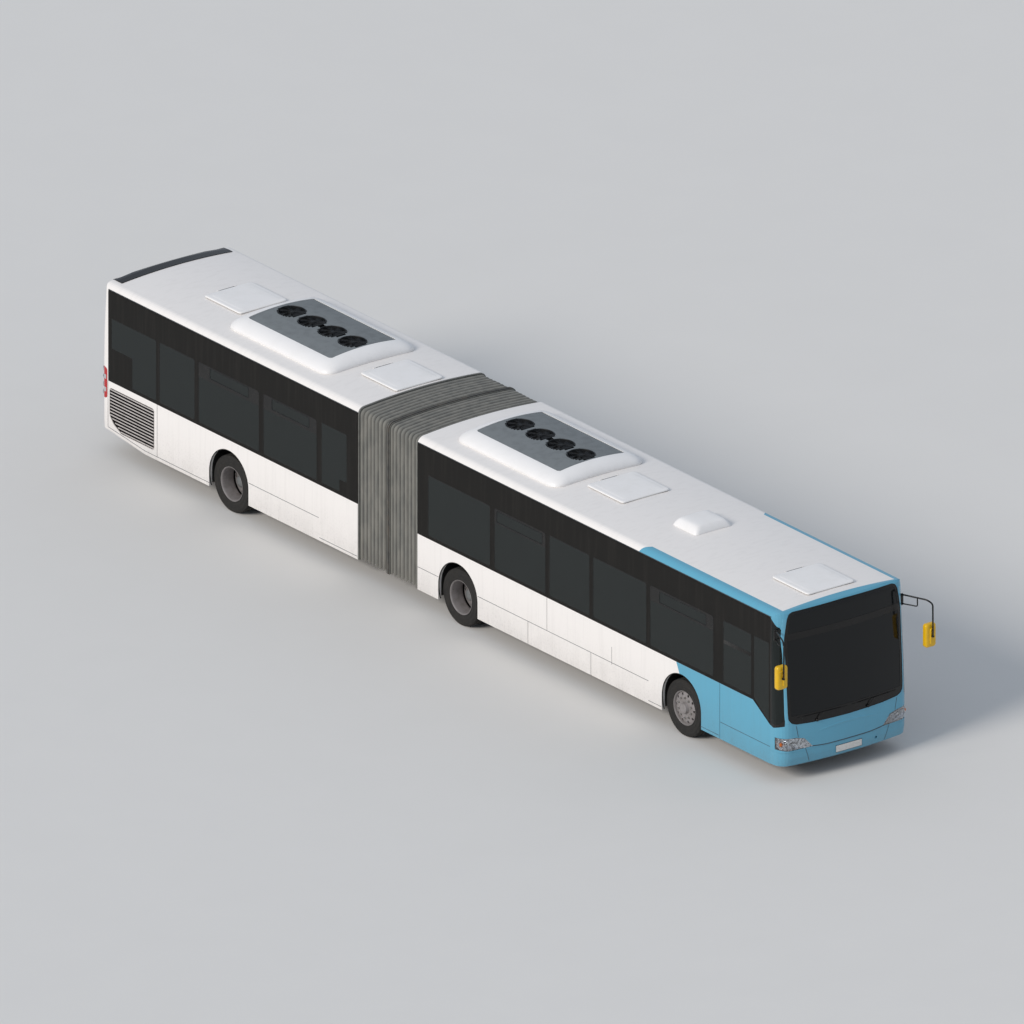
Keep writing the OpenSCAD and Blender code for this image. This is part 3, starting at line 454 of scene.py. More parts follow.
finishes = {
    # name: base, scuffed tone (on lampHousing a painted reflection), amount, patch scale, grain scale,
    # roughness, bump, shader values
    "blackGloss": (tone(17, 16, 15), tone(36, 34, 32), .3, 5, 150, .24, .04,
                   {"Specular_IOR_Level": .3, "Coat_Weight": .1}),
    "blackRubber": (tone(22, 21, 20), tone(50, 48, 45), .45, 9, 260, .72, .3, {"Specular_IOR_Level": .3}),
    "seamShadow": (tone(60, 66, 72), tone(86, 90, 94), .4, 9, 200, .7, .1, {}),
    "chassisPaint": (tone(38, 37, 36), tone(92, 82, 70), .6, 5, 120, .75, .4, {}),
    "roofShell": (tone(240, 238, 236), tone(226, 224, 221), .3, 3, 160, .42, .06, {"Coat_Weight": .1}),
    "hatchShell": (tone(240, 238, 236), tone(227, 225, 221), .3, 4, 160, .45, .06, {}),
    "coolerPanel": (tone(124, 129, 131), tone(104, 108, 110), .4, 7, 240, .6, .12, {"Specular_IOR_Level": .2}),
    "fanBlack": (tone(22, 24, 26), tone(46, 46, 45), .4, 12, 240, .5, .15, {"Specular_IOR_Level": .25}),
    "castGrey": (tone(128, 130, 130), tone(90, 88, 84), .6, 9, 200, .55, .4, {"Metallic": .6}),
    "engineIron": (tone(84, 88, 90), tone(120, 104, 82), .6, 7, 160, .6, .5, {"Metallic": .5}),
    "wheelSilver": (tone(142, 137, 136), tone(106, 101, 96), .45, 8, 190, .46, .2, {"Metallic": .2}),
    "nutSteel": (tone(176, 174, 170), tone(120, 96, 74), .5, 40, 300, .35, .3, {"Metallic": .9}),
    "brushedSteel": (tone(190, 192, 194), tone(150, 150, 150), .4, 16, 300, .28, .2, {"Metallic": 1.0}),
    "grabYellow": (tone(226, 176, 22), tone(180, 140, 40), .35, 14, 260, .4, .1, {"Coat_Weight": .3}),
    "mirrorYellow": (tone(226, 178, 6), tone(190, 148, 12), .3, 12, 260, .34, .1, {"Coat_Weight": .2}),
    "dashPlastic": (tone(62, 64, 68), tone(92, 92, 92), .35, 10, 420, .62, .5, {}),
    "trimGrey": (tone(172, 176, 180), tone(140, 142, 144), .4, 6, 300, .5, .2, {}),
    "seatShell": (tone(96, 104, 118), tone(130, 136, 144), .35, 12, 320, .45, .2, {"Coat_Weight": .2}),
    "louvreGrey": (tone(186, 180, 176), tone(140, 135, 130), .5, 8, 260, .45, .2, {}),
    # near-black plate behind the side grille's blades: painted shade of the opening
    "grilleShadowBlack": (tone(9, 9, 9), tone(20, 20, 19), .4, 10, 200, .85, .2, {"Specular_IOR_Level": .15}),
    "frameRubber": (tone(104, 104, 99), tone(70, 70, 68), .5, 8, 260, .68, .3, {}),
    "doorGasket": (tone(24, 24, 24), tone(60, 58, 54), .4, 10, 300, .78, .3, {}),
    "plateWhite": (tone(214, 212, 208), tone(170, 166, 158), .35, 30, 300, .35, .05, {"Coat_Weight": .4}),
    # lampHousing: bright chrome with near-black patches over much of it, a painted reflection
    "lampHousing": (tone(228, 230, 234), tone(14, 16, 22), 1.0, 24, 300, .12, .4, {"Metallic": .85}),
    "pillarBlue": (tone(96, 164, 190), tone(88, 150, 174), .3, 6, 160, .3, .05, {"Coat_Weight": .3}),
    "displayBlack": (tone(14, 14, 16), tone(34, 34, 36), .3, 20, 300, .35, .05, {}),
}
for name, (base, rubbedAndReflected, amount, scale, grain, roughness, strength, values) in finishes.items():
    board, shader = startMaterial(name, **values)
    wornAndReflected(board, shader, base, rubbedAndReflected, amount, float(scale), float(grain), roughness, strength)


def buildFloor():
    # flecked non-slip vinyl above, dirty black steel below
    board, shader = startMaterial("floorVinyl")
    z, facing = board.placed()[2:]
    fleck = board.add("ShaderNodeTexVoronoi", {"Scale": 160.0}).outputs["Distance"]
    flecks = board.below(fleck, .2, .06)
    vinyl = board.mix(flecks, tone(86, 92, 98), tone(168, 172, 176))
    up = board.all(board.above(facing.outputs[2], .4, .2), board.above(z, floorTop - .01))
    colour = board.mix(up, tone(46, 45, 44), vinyl)
    upright = board.all(board.below(board.math("ABSOLUTE", facing.outputs[2]), .4, .2),
                        board.above(z, floorTop + .004))
    colour = board.mix(upright, colour, tone(150, 156, 162))
    weathered(board, shader, colour, amount=.55, top=.5, roughness=.6, strength=.2)


def buildGlass():
    # tinted panes: mostly dark, with a little of the inside showing through
    for name, base, clear in (("sideGlass", tone(22, 29, 28), .3), ("screenGlass", tone(9, 14, 17), .3),
                              ("doorGlass", tone(28, 34, 33), .35)):
        board, shader = startMaterial(name, Transmission_Weight=clear, IOR=1.38, Metallic=0.0)
        film = board.noise(3.0, 5.0)
        tint = board.mix(board.above(film, .5, .3), base, shaded(base, 1.18))
        board.feed(shader.inputs["Base Color"], tint)
        board.feed(shader.inputs["Roughness"], board.math("ADD", .04, board.math("MULTIPLY", film, .07)))


def buildBellows():
    # coated cloth: a fine weave, painted shade on the pleats' flanks that face along the bus so the ridges read
    # lighter, and pale dust in patches
    board, shader = startMaterial("bellowsCloth", Sheen_Weight=.15)
    x, d, z, facing = board.placed()
    weave = board.math("MULTIPLY", board.math("SINE", board.math("MULTIPLY", d, 2600.0)),
                       board.math("SINE", board.math("MULTIPLY", board.math("ADD", z, x), 2600.0)))
    pleatFlankShade = board.math("ABSOLUTE", facing.outputs[1])
    dusty = board.noise(7.0, 6.0, (1, 1, .4))
    # painted shade: surfaces facing along the bus (the pleats' flanks) take the darker grey
    colour = board.mix(board.above(pleatFlankShade, .45, .3), tone(108, 108, 102), tone(94, 94, 90))
    colour = board.mix(board.math("MULTIPLY", board.above(dusty, .5, .2), .35), colour, tone(150, 146, 136))
    weathered(board, shader, colour, amount=.5, top=.8, roughness=.72, strength=.3, distance=.002)
    bumped(board, shader, board.math("ADD", weave, dusty), .25, .0006)


def buildTyre():
    board, shader = startMaterial("tyreRubber")
    facing = board.placed()[3]
    tread = board.below(board.math("ABSOLUTE", facing.outputs[0]), .5, .15)
    dust = board.noise(16.0, 6.0)
    colour = board.mix(board.math("MULTIPLY", board.above(dust, .48, .16), .35), tone(25, 24, 22),
                       tone(52, 48, 43))
    colour = board.mix(board.math("MULTIPLY", tread, .3), colour, tone(50, 47, 43))
    board.feed(shader.inputs["Base Color"], colour)
    board.feed(shader.inputs["Roughness"], board.math("ADD", .74, board.math("MULTIPLY", dust, .2)))
    bumped(board, shader, board.noise(300.0, 3.0), .25, .0008)


def buildCloth():
    # seat moquette: a small repeated figure over a fine pile
    board, shader = startMaterial("seatCloth", Sheen_Weight=.4, Sheen_Roughness=.4)
    x, d, z = board.placed()[:3]
    across = board.math("SINE", board.math("MULTIPLY", board.math("ADD", x, z), 84.0))
    along = board.math("SINE", board.math("MULTIPLY", board.math("SUBTRACT", d, x), 84.0))
    figure = board.above(board.math("MULTIPLY", across, along), .35, .1)
    pile = board.noise(900.0, 2.0)
    colour = board.mix(figure, tone(38, 62, 112), tone(72, 108, 156))
    colour = board.mix(board.above(pile, .62, .06), colour, tone(176, 80, 52))
    board.feed(shader.inputs["Base Color"], colour)
    board.feed(shader.inputs["Roughness"], board.math("ADD", .8, board.math("MULTIPLY", pile, .15)))
    bumped(board, shader, board.math("ADD", pile, board.math("MULTIPLY", figure, .3)), .4, .0015)


def buildLenses():
    for name, base, clear, ridge in (("headlampLens", tone(246, 248, 250), .97, 90.0),
                                     ("redLens", tone(200, 8, 12), .2, 150.0),
                                     ("amberLens", tone(240, 120, 20), .3, 150.0),
                                     ("clearLens", tone(224, 226, 228), .4, 150.0)):
        board, shader = startMaterial(name, Transmission_Weight=clear, IOR=1.49, Metallic=0.0, Coat_Weight=.5)
        x = board.placed()[0]
        flutes = board.math("SINE", board.math("MULTIPLY", x, ridge * 6))
        film = board.noise(60.0, 3.0)
        tint = board.mix(board.math("MULTIPLY", film, .4), base, shaded(base, .6))
        board.feed(shader.inputs["Base Color"], tint)
        board.feed(shader.inputs["Roughness"], board.math("ADD", .03, board.math("MULTIPLY", film, .08)))
        bumped(board, shader, flutes, .15, .001)
    board, shader = startMaterial("mirrorGlass", Metallic=1.0)
    film = board.noise(40.0, 4.0)
    board.feed(shader.inputs["Base Color"], board.mix(film, (.82, .85, .87, 1), (.7, .73, .76, 1)))
    board.feed(shader.inputs["Roughness"], board.math("MULTIPLY", film, .08))


def buildDoorLeaf():
    # glass in the middle of each leaf, painted frame round it: told apart by height
    board, shader = startMaterial("doorLeaf", Coat_Weight=.1, Specular_IOR_Level=.3)
    z = board.placed()[2]
    inset = board.between(z, .47, 2.3, .004)
    colour = board.mix(inset, tone(18, 17, 16), tone(30, 36, 35))
    wornAndReflected(board, shader, colour, tone(64, 62, 60), .25, 6.0, 160.0, .18, .05)


for build in (buildLivery, buildFrontPaint, buildFloor, buildGlass, buildBellows, buildTyre, buildCloth,
              buildLenses, buildDoorLeaf):
    build()
print("finishes", len(made))


# The CAD pieces that stay as they are take their finish here

cadFinish = {
    "livery": ["front_wall_right", "front_wall_left", "rear_wall_right", "rear_wall_left", "front_roof",
               "rear_roof", "rear_end", "engine_lid"],
    "frontPaint": ["front_mask", "front_bumper"],
    "floorVinyl": ["front_floor", "rear_floor"],
    "dashPlastic": ["dashboard", "cooling_tower"],
    "screenGlass": ["windscreen"],
    "sideGlass": ["front_windows", "rear_windows"],
    "headlampLens": ["headlamps"],
    "redLens": ["tail_lamps"],
    "roofShell": ["front_air_conditioner", "rear_air_conditioner", "roof_vent"],
    "hatchShell": ["roof_hatch_1", "roof_hatch_2", "roof_hatch_3", "roof_hatch_4"],
    "mirrorYellow": ["mirrors"],
    "chassisPaint": ["front_axle", "middle_axle", "rear_axle", "turntable", "bellows_frame"],
    "castGrey": ["knuckle_left", "knuckle_right"],
    "engineIron": ["engine"],
    "louvreGrey": ["side_grille"],
    "doorLeaf": [f"{door}_door_leaf_{leaf}" for door in ("front", "middle", "rear") for leaf in (1, 2)],
}
for finish, names in cadFinish.items():
    for name in names:
        slots = cadNodes[name].material_slots
        if not slots:
            cadNodes[name].data.materials.append(made[finish])
        for holder in slots:
            holder.material = made[finish]
print("CAD pieces finished", sum(map(len, cadFinish.values())))

# Bellows

bellows = {"pleats": 16, "outer": .022, "depth": .05, "bottom": .302, "hoopD": 10.3875, "hoopHalf": .031,
           "cloth": .003}


def bodyRing(inset, bottom, upright=12, corner=7, crown=30):
    # half the body's outline at an inset: a straight side, the cantrail's arc, the roof's arc, and back down.
    # inset may be an array, and then every row of the result is one outline
    inset = np.atleast_1d(np.asarray(inset, float))[:, None]
    bottom = np.broadcast_to(np.atleast_1d(bottom)[:, None], inset.shape)
    cornerX = halfWidth - roof["cantrailRadius"]
    turn = math.acos(cornerX / (roof["crownRadius"] - roof["cantrailRadius"]))
    share = np.linspace(0, 1, upright)[None, :-1]
    sideX = np.broadcast_to(halfWidth - inset, (len(inset), upright - 1))
    sideZ = bottom + (roof["straightUpTo"] - bottom) * share
    angle = np.linspace(0, turn, corner)[None, :-1]
    cornerR = roof["cantrailRadius"] - inset
    arcX, arcZ = cornerX + cornerR * np.cos(angle), roof["straightUpTo"] + cornerR * np.sin(angle)
    angle = np.linspace(turn, math.pi - turn, crown)[None, :]
    crownR = roof["crownRadius"] - inset
    topX = crownR * np.cos(angle)
    topZ = roof["crown"] - roof["crownRadius"] + crownR * np.sin(angle)
    x = np.concatenate([sideX, arcX, topX, -arcX[:, ::-1], -sideX[:, ::-1]], 1)
    z = np.concatenate([sideZ, arcZ, topZ, arcZ[:, ::-1], sideZ[:, ::-1]], 1)
    return x, z


def frameRing(d0, d1, outer, inner, bottom):
    # a flat hoop of the body's outline between two insets
    xo, zo = bodyRing(outer, bottom)
    xi, zi = bodyRing(inner, bottom)
    rows = [(xo[0], d0, zo[0]), (xo[0], d1, zo[0]), (xi[0], d1, zi[0]), (xi[0], d0, zi[0])]
    rings = np.array([np.column_stack([x, np.full(len(x), yAt(d)), z]) for x, d, z in rows])
    points, faces = grid(rings, closeRows=True)
    n = len(xo[0])
    faces += [[0, n, 2 * n, 3 * n], [4 * n - 1, 3 * n - 1, 2 * n - 1, n - 1]]
    return points, faces


def buildBellows():
    # pleats: the inset follows a narrow-valleyed wave along the bus, and the lower edge rises in each valley
    count = bellows["pleats"] * 10 + 1
    t = np.linspace(0, 1, count)
    d = gangway["start"] + .012 + (gangway["end"] - gangway["start"] - .024) * t
    ridge = np.abs(np.sin(math.pi * bellows["pleats"] * t)) ** .42
    inset = bellows["outer"] + bellows["depth"] * (1 - ridge) + .006 * np.sin(9 * t) ** 2
    nearHoop = np.clip(1 - np.abs(d - bellows["hoopD"]) / .05, 0, 1)
    inset = inset + (.05 - inset) * nearHoop
    x, z = bodyRing(inset, bellows["bottom"] + 1.1 * (inset - bellows["outer"]))
    rings = np.stack([x, np.broadcast_to(yAt(d)[:, None], x.shape), z], -1)
    cloth = piece("bellowsCover", [grid(rings)], [made["bellowsCloth"]], None, smooth=80,
                  closed=True, thickness=bellows["cloth"])
    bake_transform(cloth)
    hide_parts("bellows")
    for name, d0, d1, body in (("bellowsFlangeFront", gangway["start"], gangway["start"] + .03,
                                "front_section"),
                               ("bellowsFlangeRear", gangway["end"] - .03, gangway["end"], "rear_section")):
        piece(name, [frameRing(d0, d1, .008, .082, .296)], [made["frameRubber"]], body)
    half = bellows["hoopHalf"]
    piece("bellowsHoop",
          [frameRing(bellows["hoopD"] - half - .012, bellows["hoopD"] + half + .012, .012, .03, .31),
                          frameRing(bellows["hoopD"] - .008, bellows["hoopD"] + .008, .002, .02, .305)],
          [made["frameRubber"]], "middle_frame", bevel=.003)


buildBellows()
print("bellows")

# Wheels

wheels = {"radius": .478, "z": .478, "width": .275, "track": 1.092, "twin": .31, "blocks": 60,
          "grooves": [-.07, -.025, .025, .07],
          "grooveHalf": .0052, "grooveDepth": .010, "nuts": 10, "nutCircle": .1675, "holeCircle": .229,
          "holeRadius": .021}


def tyreProfile():
    # from one bead over the tread to the other: (x, radius, how far a shoulder cut reaches)
    half = wheels["width"] / 2
    wall = [(half - .026, .2865), (half - .012, .291), (half - .006, .302), (half - .009, .312),
            (half - .004, .33),
            (half, .352), (half, .362), (half - .003, .366), (half - .002, .39), (half - .003, .41),
            (half - .001, .416), (half - .002, .424), (half - .007, .436), (half - .012, .447),
            (half - .018, .462)]
    shoulder = [(half - .021, .4685, 1), (half - .028, .4725, 1), (half - .05, .4755, 1)]
    cut = wheels["grooveHalf"]
    crown = []
    for x in wheels["grooves"][::-1]:
        r = wheels["radius"] - .25 * x * x
        crown += [(x + cut, r, 0), (x + cut * .75, r - wheels["grooveDepth"], 0),
                  (x - cut * .75, r - wheels["grooveDepth"], 0), (x - cut, r, 0)]
    side = [(*p, 0) for p in wall] + shoulder
    other = [(-x, r, c) for x, r, c in side[::-1]]
    return np.array(side + crown + other)


def tyre(centreX, d):
    profile = tyreProfile()
    pitch = 2 * math.pi / wheels["blocks"]
    steps = np.array([0, .03, .2, .23, .5, .75])
    angle = (np.arange(wheels["blocks"])[:, None] * pitch + steps[None] * pitch).ravel()
    cut = np.tile([0, 1, 1, 0, 0, 0], wheels["blocks"])
    radius = profile[:, 1][:, None] - .008 * profile[:, 2][:, None] * cut[None]
    slant = .35 * profile[:, 0][:, None] * profile[:, 2][:, None]
    rings = np.stack([np.broadcast_to(profile[:, 0][:, None] + centreX, radius.shape),
                      radius * np.cos(angle[None] + slant), radius * np.sin(angle[None] + slant)], -1)
    inner = rings[[0, -1]] * [1, .995, .995]
    points, faces = grid(np.concatenate([rings, inner[1:], inner[:1]]), closeRows=True, closeColumns=True)
    return points + [0, yAt(d), wheels["z"]], faces


def sectorAngles(sectors, points):
    # angles that a square-edged sector's points fall on, for the rings that meet it
    part = np.tan(np.linspace(-math.pi / 4, math.pi / 4, points + 1)[:-1])
    return ((np.arange(sectors)[:, None] + .5 * part[None]) * 2 * math.pi / sectors).ravel()


def ringsAt(profile, angles):
    profile = np.array(profile, float)
    return np.stack([np.broadcast_to(profile[:, 0][:, None], (len(profile), len(angles))),
                     profile[:, 1][:, None] * np.cos(angles), profile[:, 1][:, None] * np.sin(angles)], -1)


def wheelDisc(face, thickness, bore):
    # a dished disc with round hand holes. face is (radius, x); each sector runs from its hole's edge
    # out to its own four sides, over the front and back of the disc
    count, points = wheels["nuts"], 32
    low, high = .196, .262
    angle = np.arange(points) * 2 * math.pi / points
    across, out = np.cos(angle), np.sin(angle)
    square = np.maximum(np.abs(across), np.abs(out))
    sectorHalf = math.pi / count
    share = np.array([1, .6, .3, .12, 0])[:, None]
    holeR = wheels["holeCircle"] + wheels["holeRadius"] * out
    holeA = wheels["holeRadius"] * across / wheels["holeCircle"]
    edgeR = (low + high) / 2 + (high - low) / 2 * out / square
    edgeA = sectorHalf * across / square
    radius, turn = holeR + share * (edgeR - holeR), holeA + share * (edgeA - holeA)
    lip = np.array([0, 0, 0, .001, .004])[:, None]
    front = np.interp(radius, *face) + lip
    back = np.interp(radius, *face) - thickness
    parts = []
    for i in range(count):
        a = turn + i * 2 * sectorHalf
        rows = [np.stack([x, radius * np.cos(a), radius * np.sin(a)], -1) for x in (front, back)]
        parts.append(grid(np.concatenate([rows[0], rows[1][::-1]]), closeColumns=True))
    angles = sectorAngles(count, points // 4)

    def x(r):
        return float(np.interp(r, *face))

    weld = .2718
    rim = [(x(high), high), (x(weld), weld), (x(weld) - thickness, weld), (x(high) - thickness, high)]
    parts.append(grid(ringsAt(rim, angles), closeColumns=True))
    steps = np.linspace(low, bore, 6)
    parts.append(grid(ringsAt([(x(low) - thickness, low)] + [(x(r) - thickness, r) for r in steps[1:]] +
                              [(x(r), r) for r in steps[::-1]], angles), closeColumns=True))
    return parts


def nut(x, radius, angle, size=.0165):
    # a hexagon nut on its flat washer
    washer = np.array([laid(circle(size * 1.35, 12), (h, 0, 0), 0) for h in (0, .003)])
    body = np.array([laid(circle(r, 6), (h, 0, 0), 0) for h, r in
                     ((.003, size), (.016, size), (.020, size * .82), (.030, size * .5), (.031, size * .3))])
    parts = []
    for rings in (washer, body):
        points, faces = loft(rings)
        parts.append((points + [x, radius * math.cos(angle), radius * math.sin(angle)], faces, 1))
    return parts


def buildWheel(axle, side):
    d, track = axleD[axle], wheels["track"]
    many = axle != "front"
    name = f"{axle}_wheel_{side}"
    tyreNode = f"{axle}_tyre{'s' if many else ''}_{side}"
    rimNode = f"{axle}_rim{'s' if many else ''}_{side}"
    centres = [track, track - wheels["twin"]] if many else [track]
    tyres = [tyre(x, d) for x in centres]
    half = .1245
    if many:
        middle = track - wheels["twin"] / 2
        face = ([0, .12, .19, .272], [middle + .014, middle + .014, middle + .012, middle + .002])
        hub = [(middle + .01, .112), (middle + .03, .108), (track - .085, .104), (track - .078, .099),
               (track - .044, .094), (track - .036, .086), (track - .026, .07), (track - .0215, .03),
               (track - .021, 0)]
        hubBack = [(middle - .2, 0), (middle - .2, .1), (middle - .012, .104)]
    else:
        disc = track + .092
        face = ([0, .088, .13, .18, .24, .272],
                [disc + .012, disc + .014, disc + .019, disc + .0185, disc + .004, disc - .009])
        hub = [(disc + .008, .100), (disc + .02, .096), (track + .125, .090), (track + .134, .086),
               (track + .15, .081), (track + .156, .07), (track + .159, .03), (track + .1595, 0)]
        hubBack = [(track + .022, 0), (track + .022, .088), (disc - .004, .088)]
    parts = wheelDisc(face, .012, .092)
    nutX = float(np.interp(wheels["nutCircle"], *face))
    for i in range(wheels["nuts"]):
        parts += nut(nutX - .0005, wheels["nutCircle"], (i + .5) * 2 * math.pi / wheels["nuts"])
    hubRings = ringsAt(hubBack + hub, np.arange(48) * 2 * math.pi / 48)
    parts.append((*grid(hubRings, closeColumns=True), 2 if many else 0))
    for centre in centres:
        outer = 1 if centre == track else -1
        barrel = [(-half, .2857), (-half, .279), (-half + .008, .2725), (-half + .03, .266), (0, .262),
                  (half - .03, .266), (half - .008, .2725), (half, .279), (half, .2857), (half - .012, .2857),
                  (0, .2857), (-half + .012, .2857)]
        ring = ringsAt([(centre + outer * x, r) for x, r in barrel], np.arange(96) * 2 * math.pi / 96)
        parts.append(grid(ring, closeRows=True, closeColumns=True))
    # the air valve
    valve = sweep([(track + .06, .24, .03), (track + .085, .243, .03), (track + .1, .247, .031)],
                  circle(.0045, 8))
    parts.append((*valve, 1))
    parts = [(p[0] + [0, yAt(d), wheels["z"]], *p[1:]) for p in parts]
    if side == "right":
        tyres, parts = mirrored(tyres), mirrored(parts)
    piece(name + "_tyre", tyres, [made["tyreRubber"]], name, smooth=28, replaces=[tyreNode])
    piece(name + "_rim", parts, [made["wheelSilver"], made["nutSteel"], made["castGrey"]], name,
          smooth=32, replaces=[rimNode])


for axle in axleD:
    for side in ("left", "right"):
        buildWheel(axle, side)
print("wheels")

# Roof: coolers, hatches, vent, gutters

cooler = {"starts": {"front": 6.47, "rear": 12.44}, "length": 2.66, "width": 1.84, "foot": .012,
          "roll": .26, "corner": .2, "panelLength": 2.17, "panelWidth": 1.32, "fans": 4, "fanPitch": .53,
          "fanRadius": .225, "blades": 7}


def overRoof(outline, middleD, rise):
    # an outline of (x, along) laid over the crown at a height above it
    return np.stack([outline[..., 0], yAt(middleD + outline[..., 1]), roofZ(outline[..., 0]) + rise], -1)


def coolerTop(x):
    # the housing's top is its own flatter arch, edges first
    return 3.09 - 4.331 + np.sqrt(4.381 ** 2 - np.minimum(np.abs(x), .95) ** 2) - .0015


def overCooler(outline, middleD, share, lift=0.0):
    # an outline laid between the roof (share 0) and the top of the housing (share 1)
    low, high = roofZ(outline[..., 0]) + cooler["foot"], coolerTop(outline[..., 0])
    return np.stack([outline[..., 0], yAt(middleD + outline[..., 1]), low + (high - low) * share + lift], -1)


def shroudRings(count=120):
    # from the foot over a rolled edge to the rim of the panel: the inset grows as a cosine, the rise as a sine
    rings = []
    for turn in np.linspace(0, math.pi / 2, 9):
        inset = cooler["roll"] * (1 - math.cos(turn)) ** .85
        rise = math.sin(turn) ** .8
        outline = roundedBox(cooler["width"] - 2 * inset, cooler["length"] - 2 * inset * .94,
                             max(cooler["corner"] - inset * .6, .02), 6)
        rings.append((subdivided(outline, count), rise))
    return rings


def buildCooler(section):
    middle = cooler["starts"][section] + cooler["length"] / 2
    body = f"{section}_section"
    rings = shroudRings()
    foot = overRoof(rings[0][0] * [.985, .99], middle, -.012)
    rows = [foot] + [overCooler(outline, middle, rise) for outline, rise in rings]
    recess = subdivided(roundedBox(cooler["panelWidth"], cooler["panelLength"], .012, 2), 120)
    rows += [overCooler(recess, middle, 1), overCooler(recess * .998, middle, 1, -.068)]
    piece(f"{section}CoolerShroud", [loft(np.array(rows))], [made["roofShell"]], body,
          smooth=50, replaces=[f"{section}_air_conditioner"])
    # the panel is slats across the bus between the fan wells
    parts, slats = [], 46
    pitch = cooler["panelLength"] / slats
    half = cooler["panelWidth"] / 2 - .004
    fanPlaces = (np.arange(cooler["fans"]) - (cooler["fans"] - 1) / 2) * cooler["fanPitch"]
    blade = np.array([[-.021, -.006], [.016, .004], [.021, .004], [.021, .001], [-.016, -.009], [-.021, -.009]])
    for along in -cooler["panelLength"] / 2 + pitch * (np.arange(slats) + .5):
        # a slat stops at the fan wells that it meets
        near = (np.abs(fanPlaces - along) - .021).clip(0)
        cut = np.sqrt(np.clip((cooler["fanRadius"] + .004) ** 2 - near ** 2, 0, None)).max()
        for first, last in (((-half, -cut), (cut, half)) if cut else ((-half, half),)):
            x = np.linspace(first, last, 16)[:, None]
            ring = np.stack([x + 0 * blade[None, :, 0], yAt(middle + along + blade[None, :, 0]) + 0 * x,
                             coolerTop(x) - .009 + blade[None, :, 1]], -1)
            parts.append(loft(ring))
    # the flat panel between the wells, under the slats
    floorX = np.linspace(-half, half, 25)
    reach = cooler["panelLength"] / 2 - .004
    floor = np.array([np.column_stack([floorX, np.full(25, yAt(middle + end)), coolerTop(floorX) - .062])
                      for end in (-reach, reach)])
    parts.append(loft(np.concatenate([floor, floor[:, ::-1] - [0, 0, .002]], 1)))
    piece(f"{section}CoolerSlats", parts, [made["coolerPanel"]], body, smooth=30)
    fans = []
    for along in fanPlaces:
        fans += fan(middle + along, float(coolerTop(0)))
    piece(f"{section}CoolerFans", fans, [made["fanBlack"]], body, smooth=30)


def upright(profile, d, count=48):
    # (radius, z) points turned about an upright axis on the centre plane
    profile = np.array(profile, float)
    ring = circle(1, count)
    rings = np.stack([profile[:, 0][:, None] * ring[None, :, 0], profile[:, 0][:, None] * ring[None, :, 1],
                      np.broadcast_to(profile[:, 1][:, None], (len(profile), count))], -1)
    return rings + [0, yAt(d), 0]


def fan(d, top):
    # cowl ring, curved blades round a domed hub, and a guard of hoops and spokes, all sunk in their well
    r = cooler["fanRadius"]
    cowl = upright([(r, top - .02), (r, top - .001), (r - .004, top), (r - .012, top - .001),
                    (r - .016, top - .008),
                    (r - .016, top - .05), (0, top - .05), (0, top - .052), (r, top - .052)], d)
    parts = [grid(cowl, closeRows=True, closeColumns=True)]
    parts.append(loft(upright([(.062, top - .048), (.062, top - .022), (.055, top - .014), (.035, top - .010),
                               (.012, top - .009)], d, 32)))
    reach, chord = np.linspace(.055, r - .02, 7), np.linspace(-.5, .5, 6)
    for i in range(cooler["blades"]):
        base = i * 2 * math.pi / cooler["blades"]
        turn = base + chord[None] * .62 + (reach[:, None] - .05) * 1.3
        height = top - .033 + chord[None] * .022 + .004 * (1 - (2 * chord[None]) ** 2)
        rows = np.stack([reach[:, None] * np.cos(turn), reach[:, None] * np.sin(turn), height + 0 * turn], -1)
        parts.append(loft(np.concatenate([rows, rows[:, ::-1] - [0, 0, .002]], 1) + [0, yAt(d), 0]))
    for radius in np.arange(.05, r - .01, .033):
        path = np.column_stack([circle(radius, 36), np.full(36, top - .004)]) + [0, yAt(d), 0]
        parts.append(sweep(path, circle(.0018, 4), closed=True))
    for i in range(6):
        ends = np.array([[.03, 0], [r - .006, 0]]) @ spin(i * math.pi / 3)
        path = np.column_stack([ends, [top - .0055] * 2]) + [0, yAt(d), 0]
        parts.append(sweep(path, circle(.0024, 6)))
    # the whole fan follows the arch of the housing's top
    return [(points + np.column_stack([0 * points[:, 0], 0 * points[:, 0], coolerTop(points[:, 0]) - top]),
             faces)
            for points, faces in parts]


for section in ("front", "rear"):
    buildCooler(section)
print("coolers")

hatches = {"starts": [.45, 5.29, 11.21, 15.29], "side": .95, "bottom": 2.955, "height": .033}


def levelAt(outline, middle, z):
    # an outline of (x, along) laid level at a height
    return np.stack([outline[:, 0], yAt(middle + outline[:, 1]), np.full(len(outline), z)], -1)


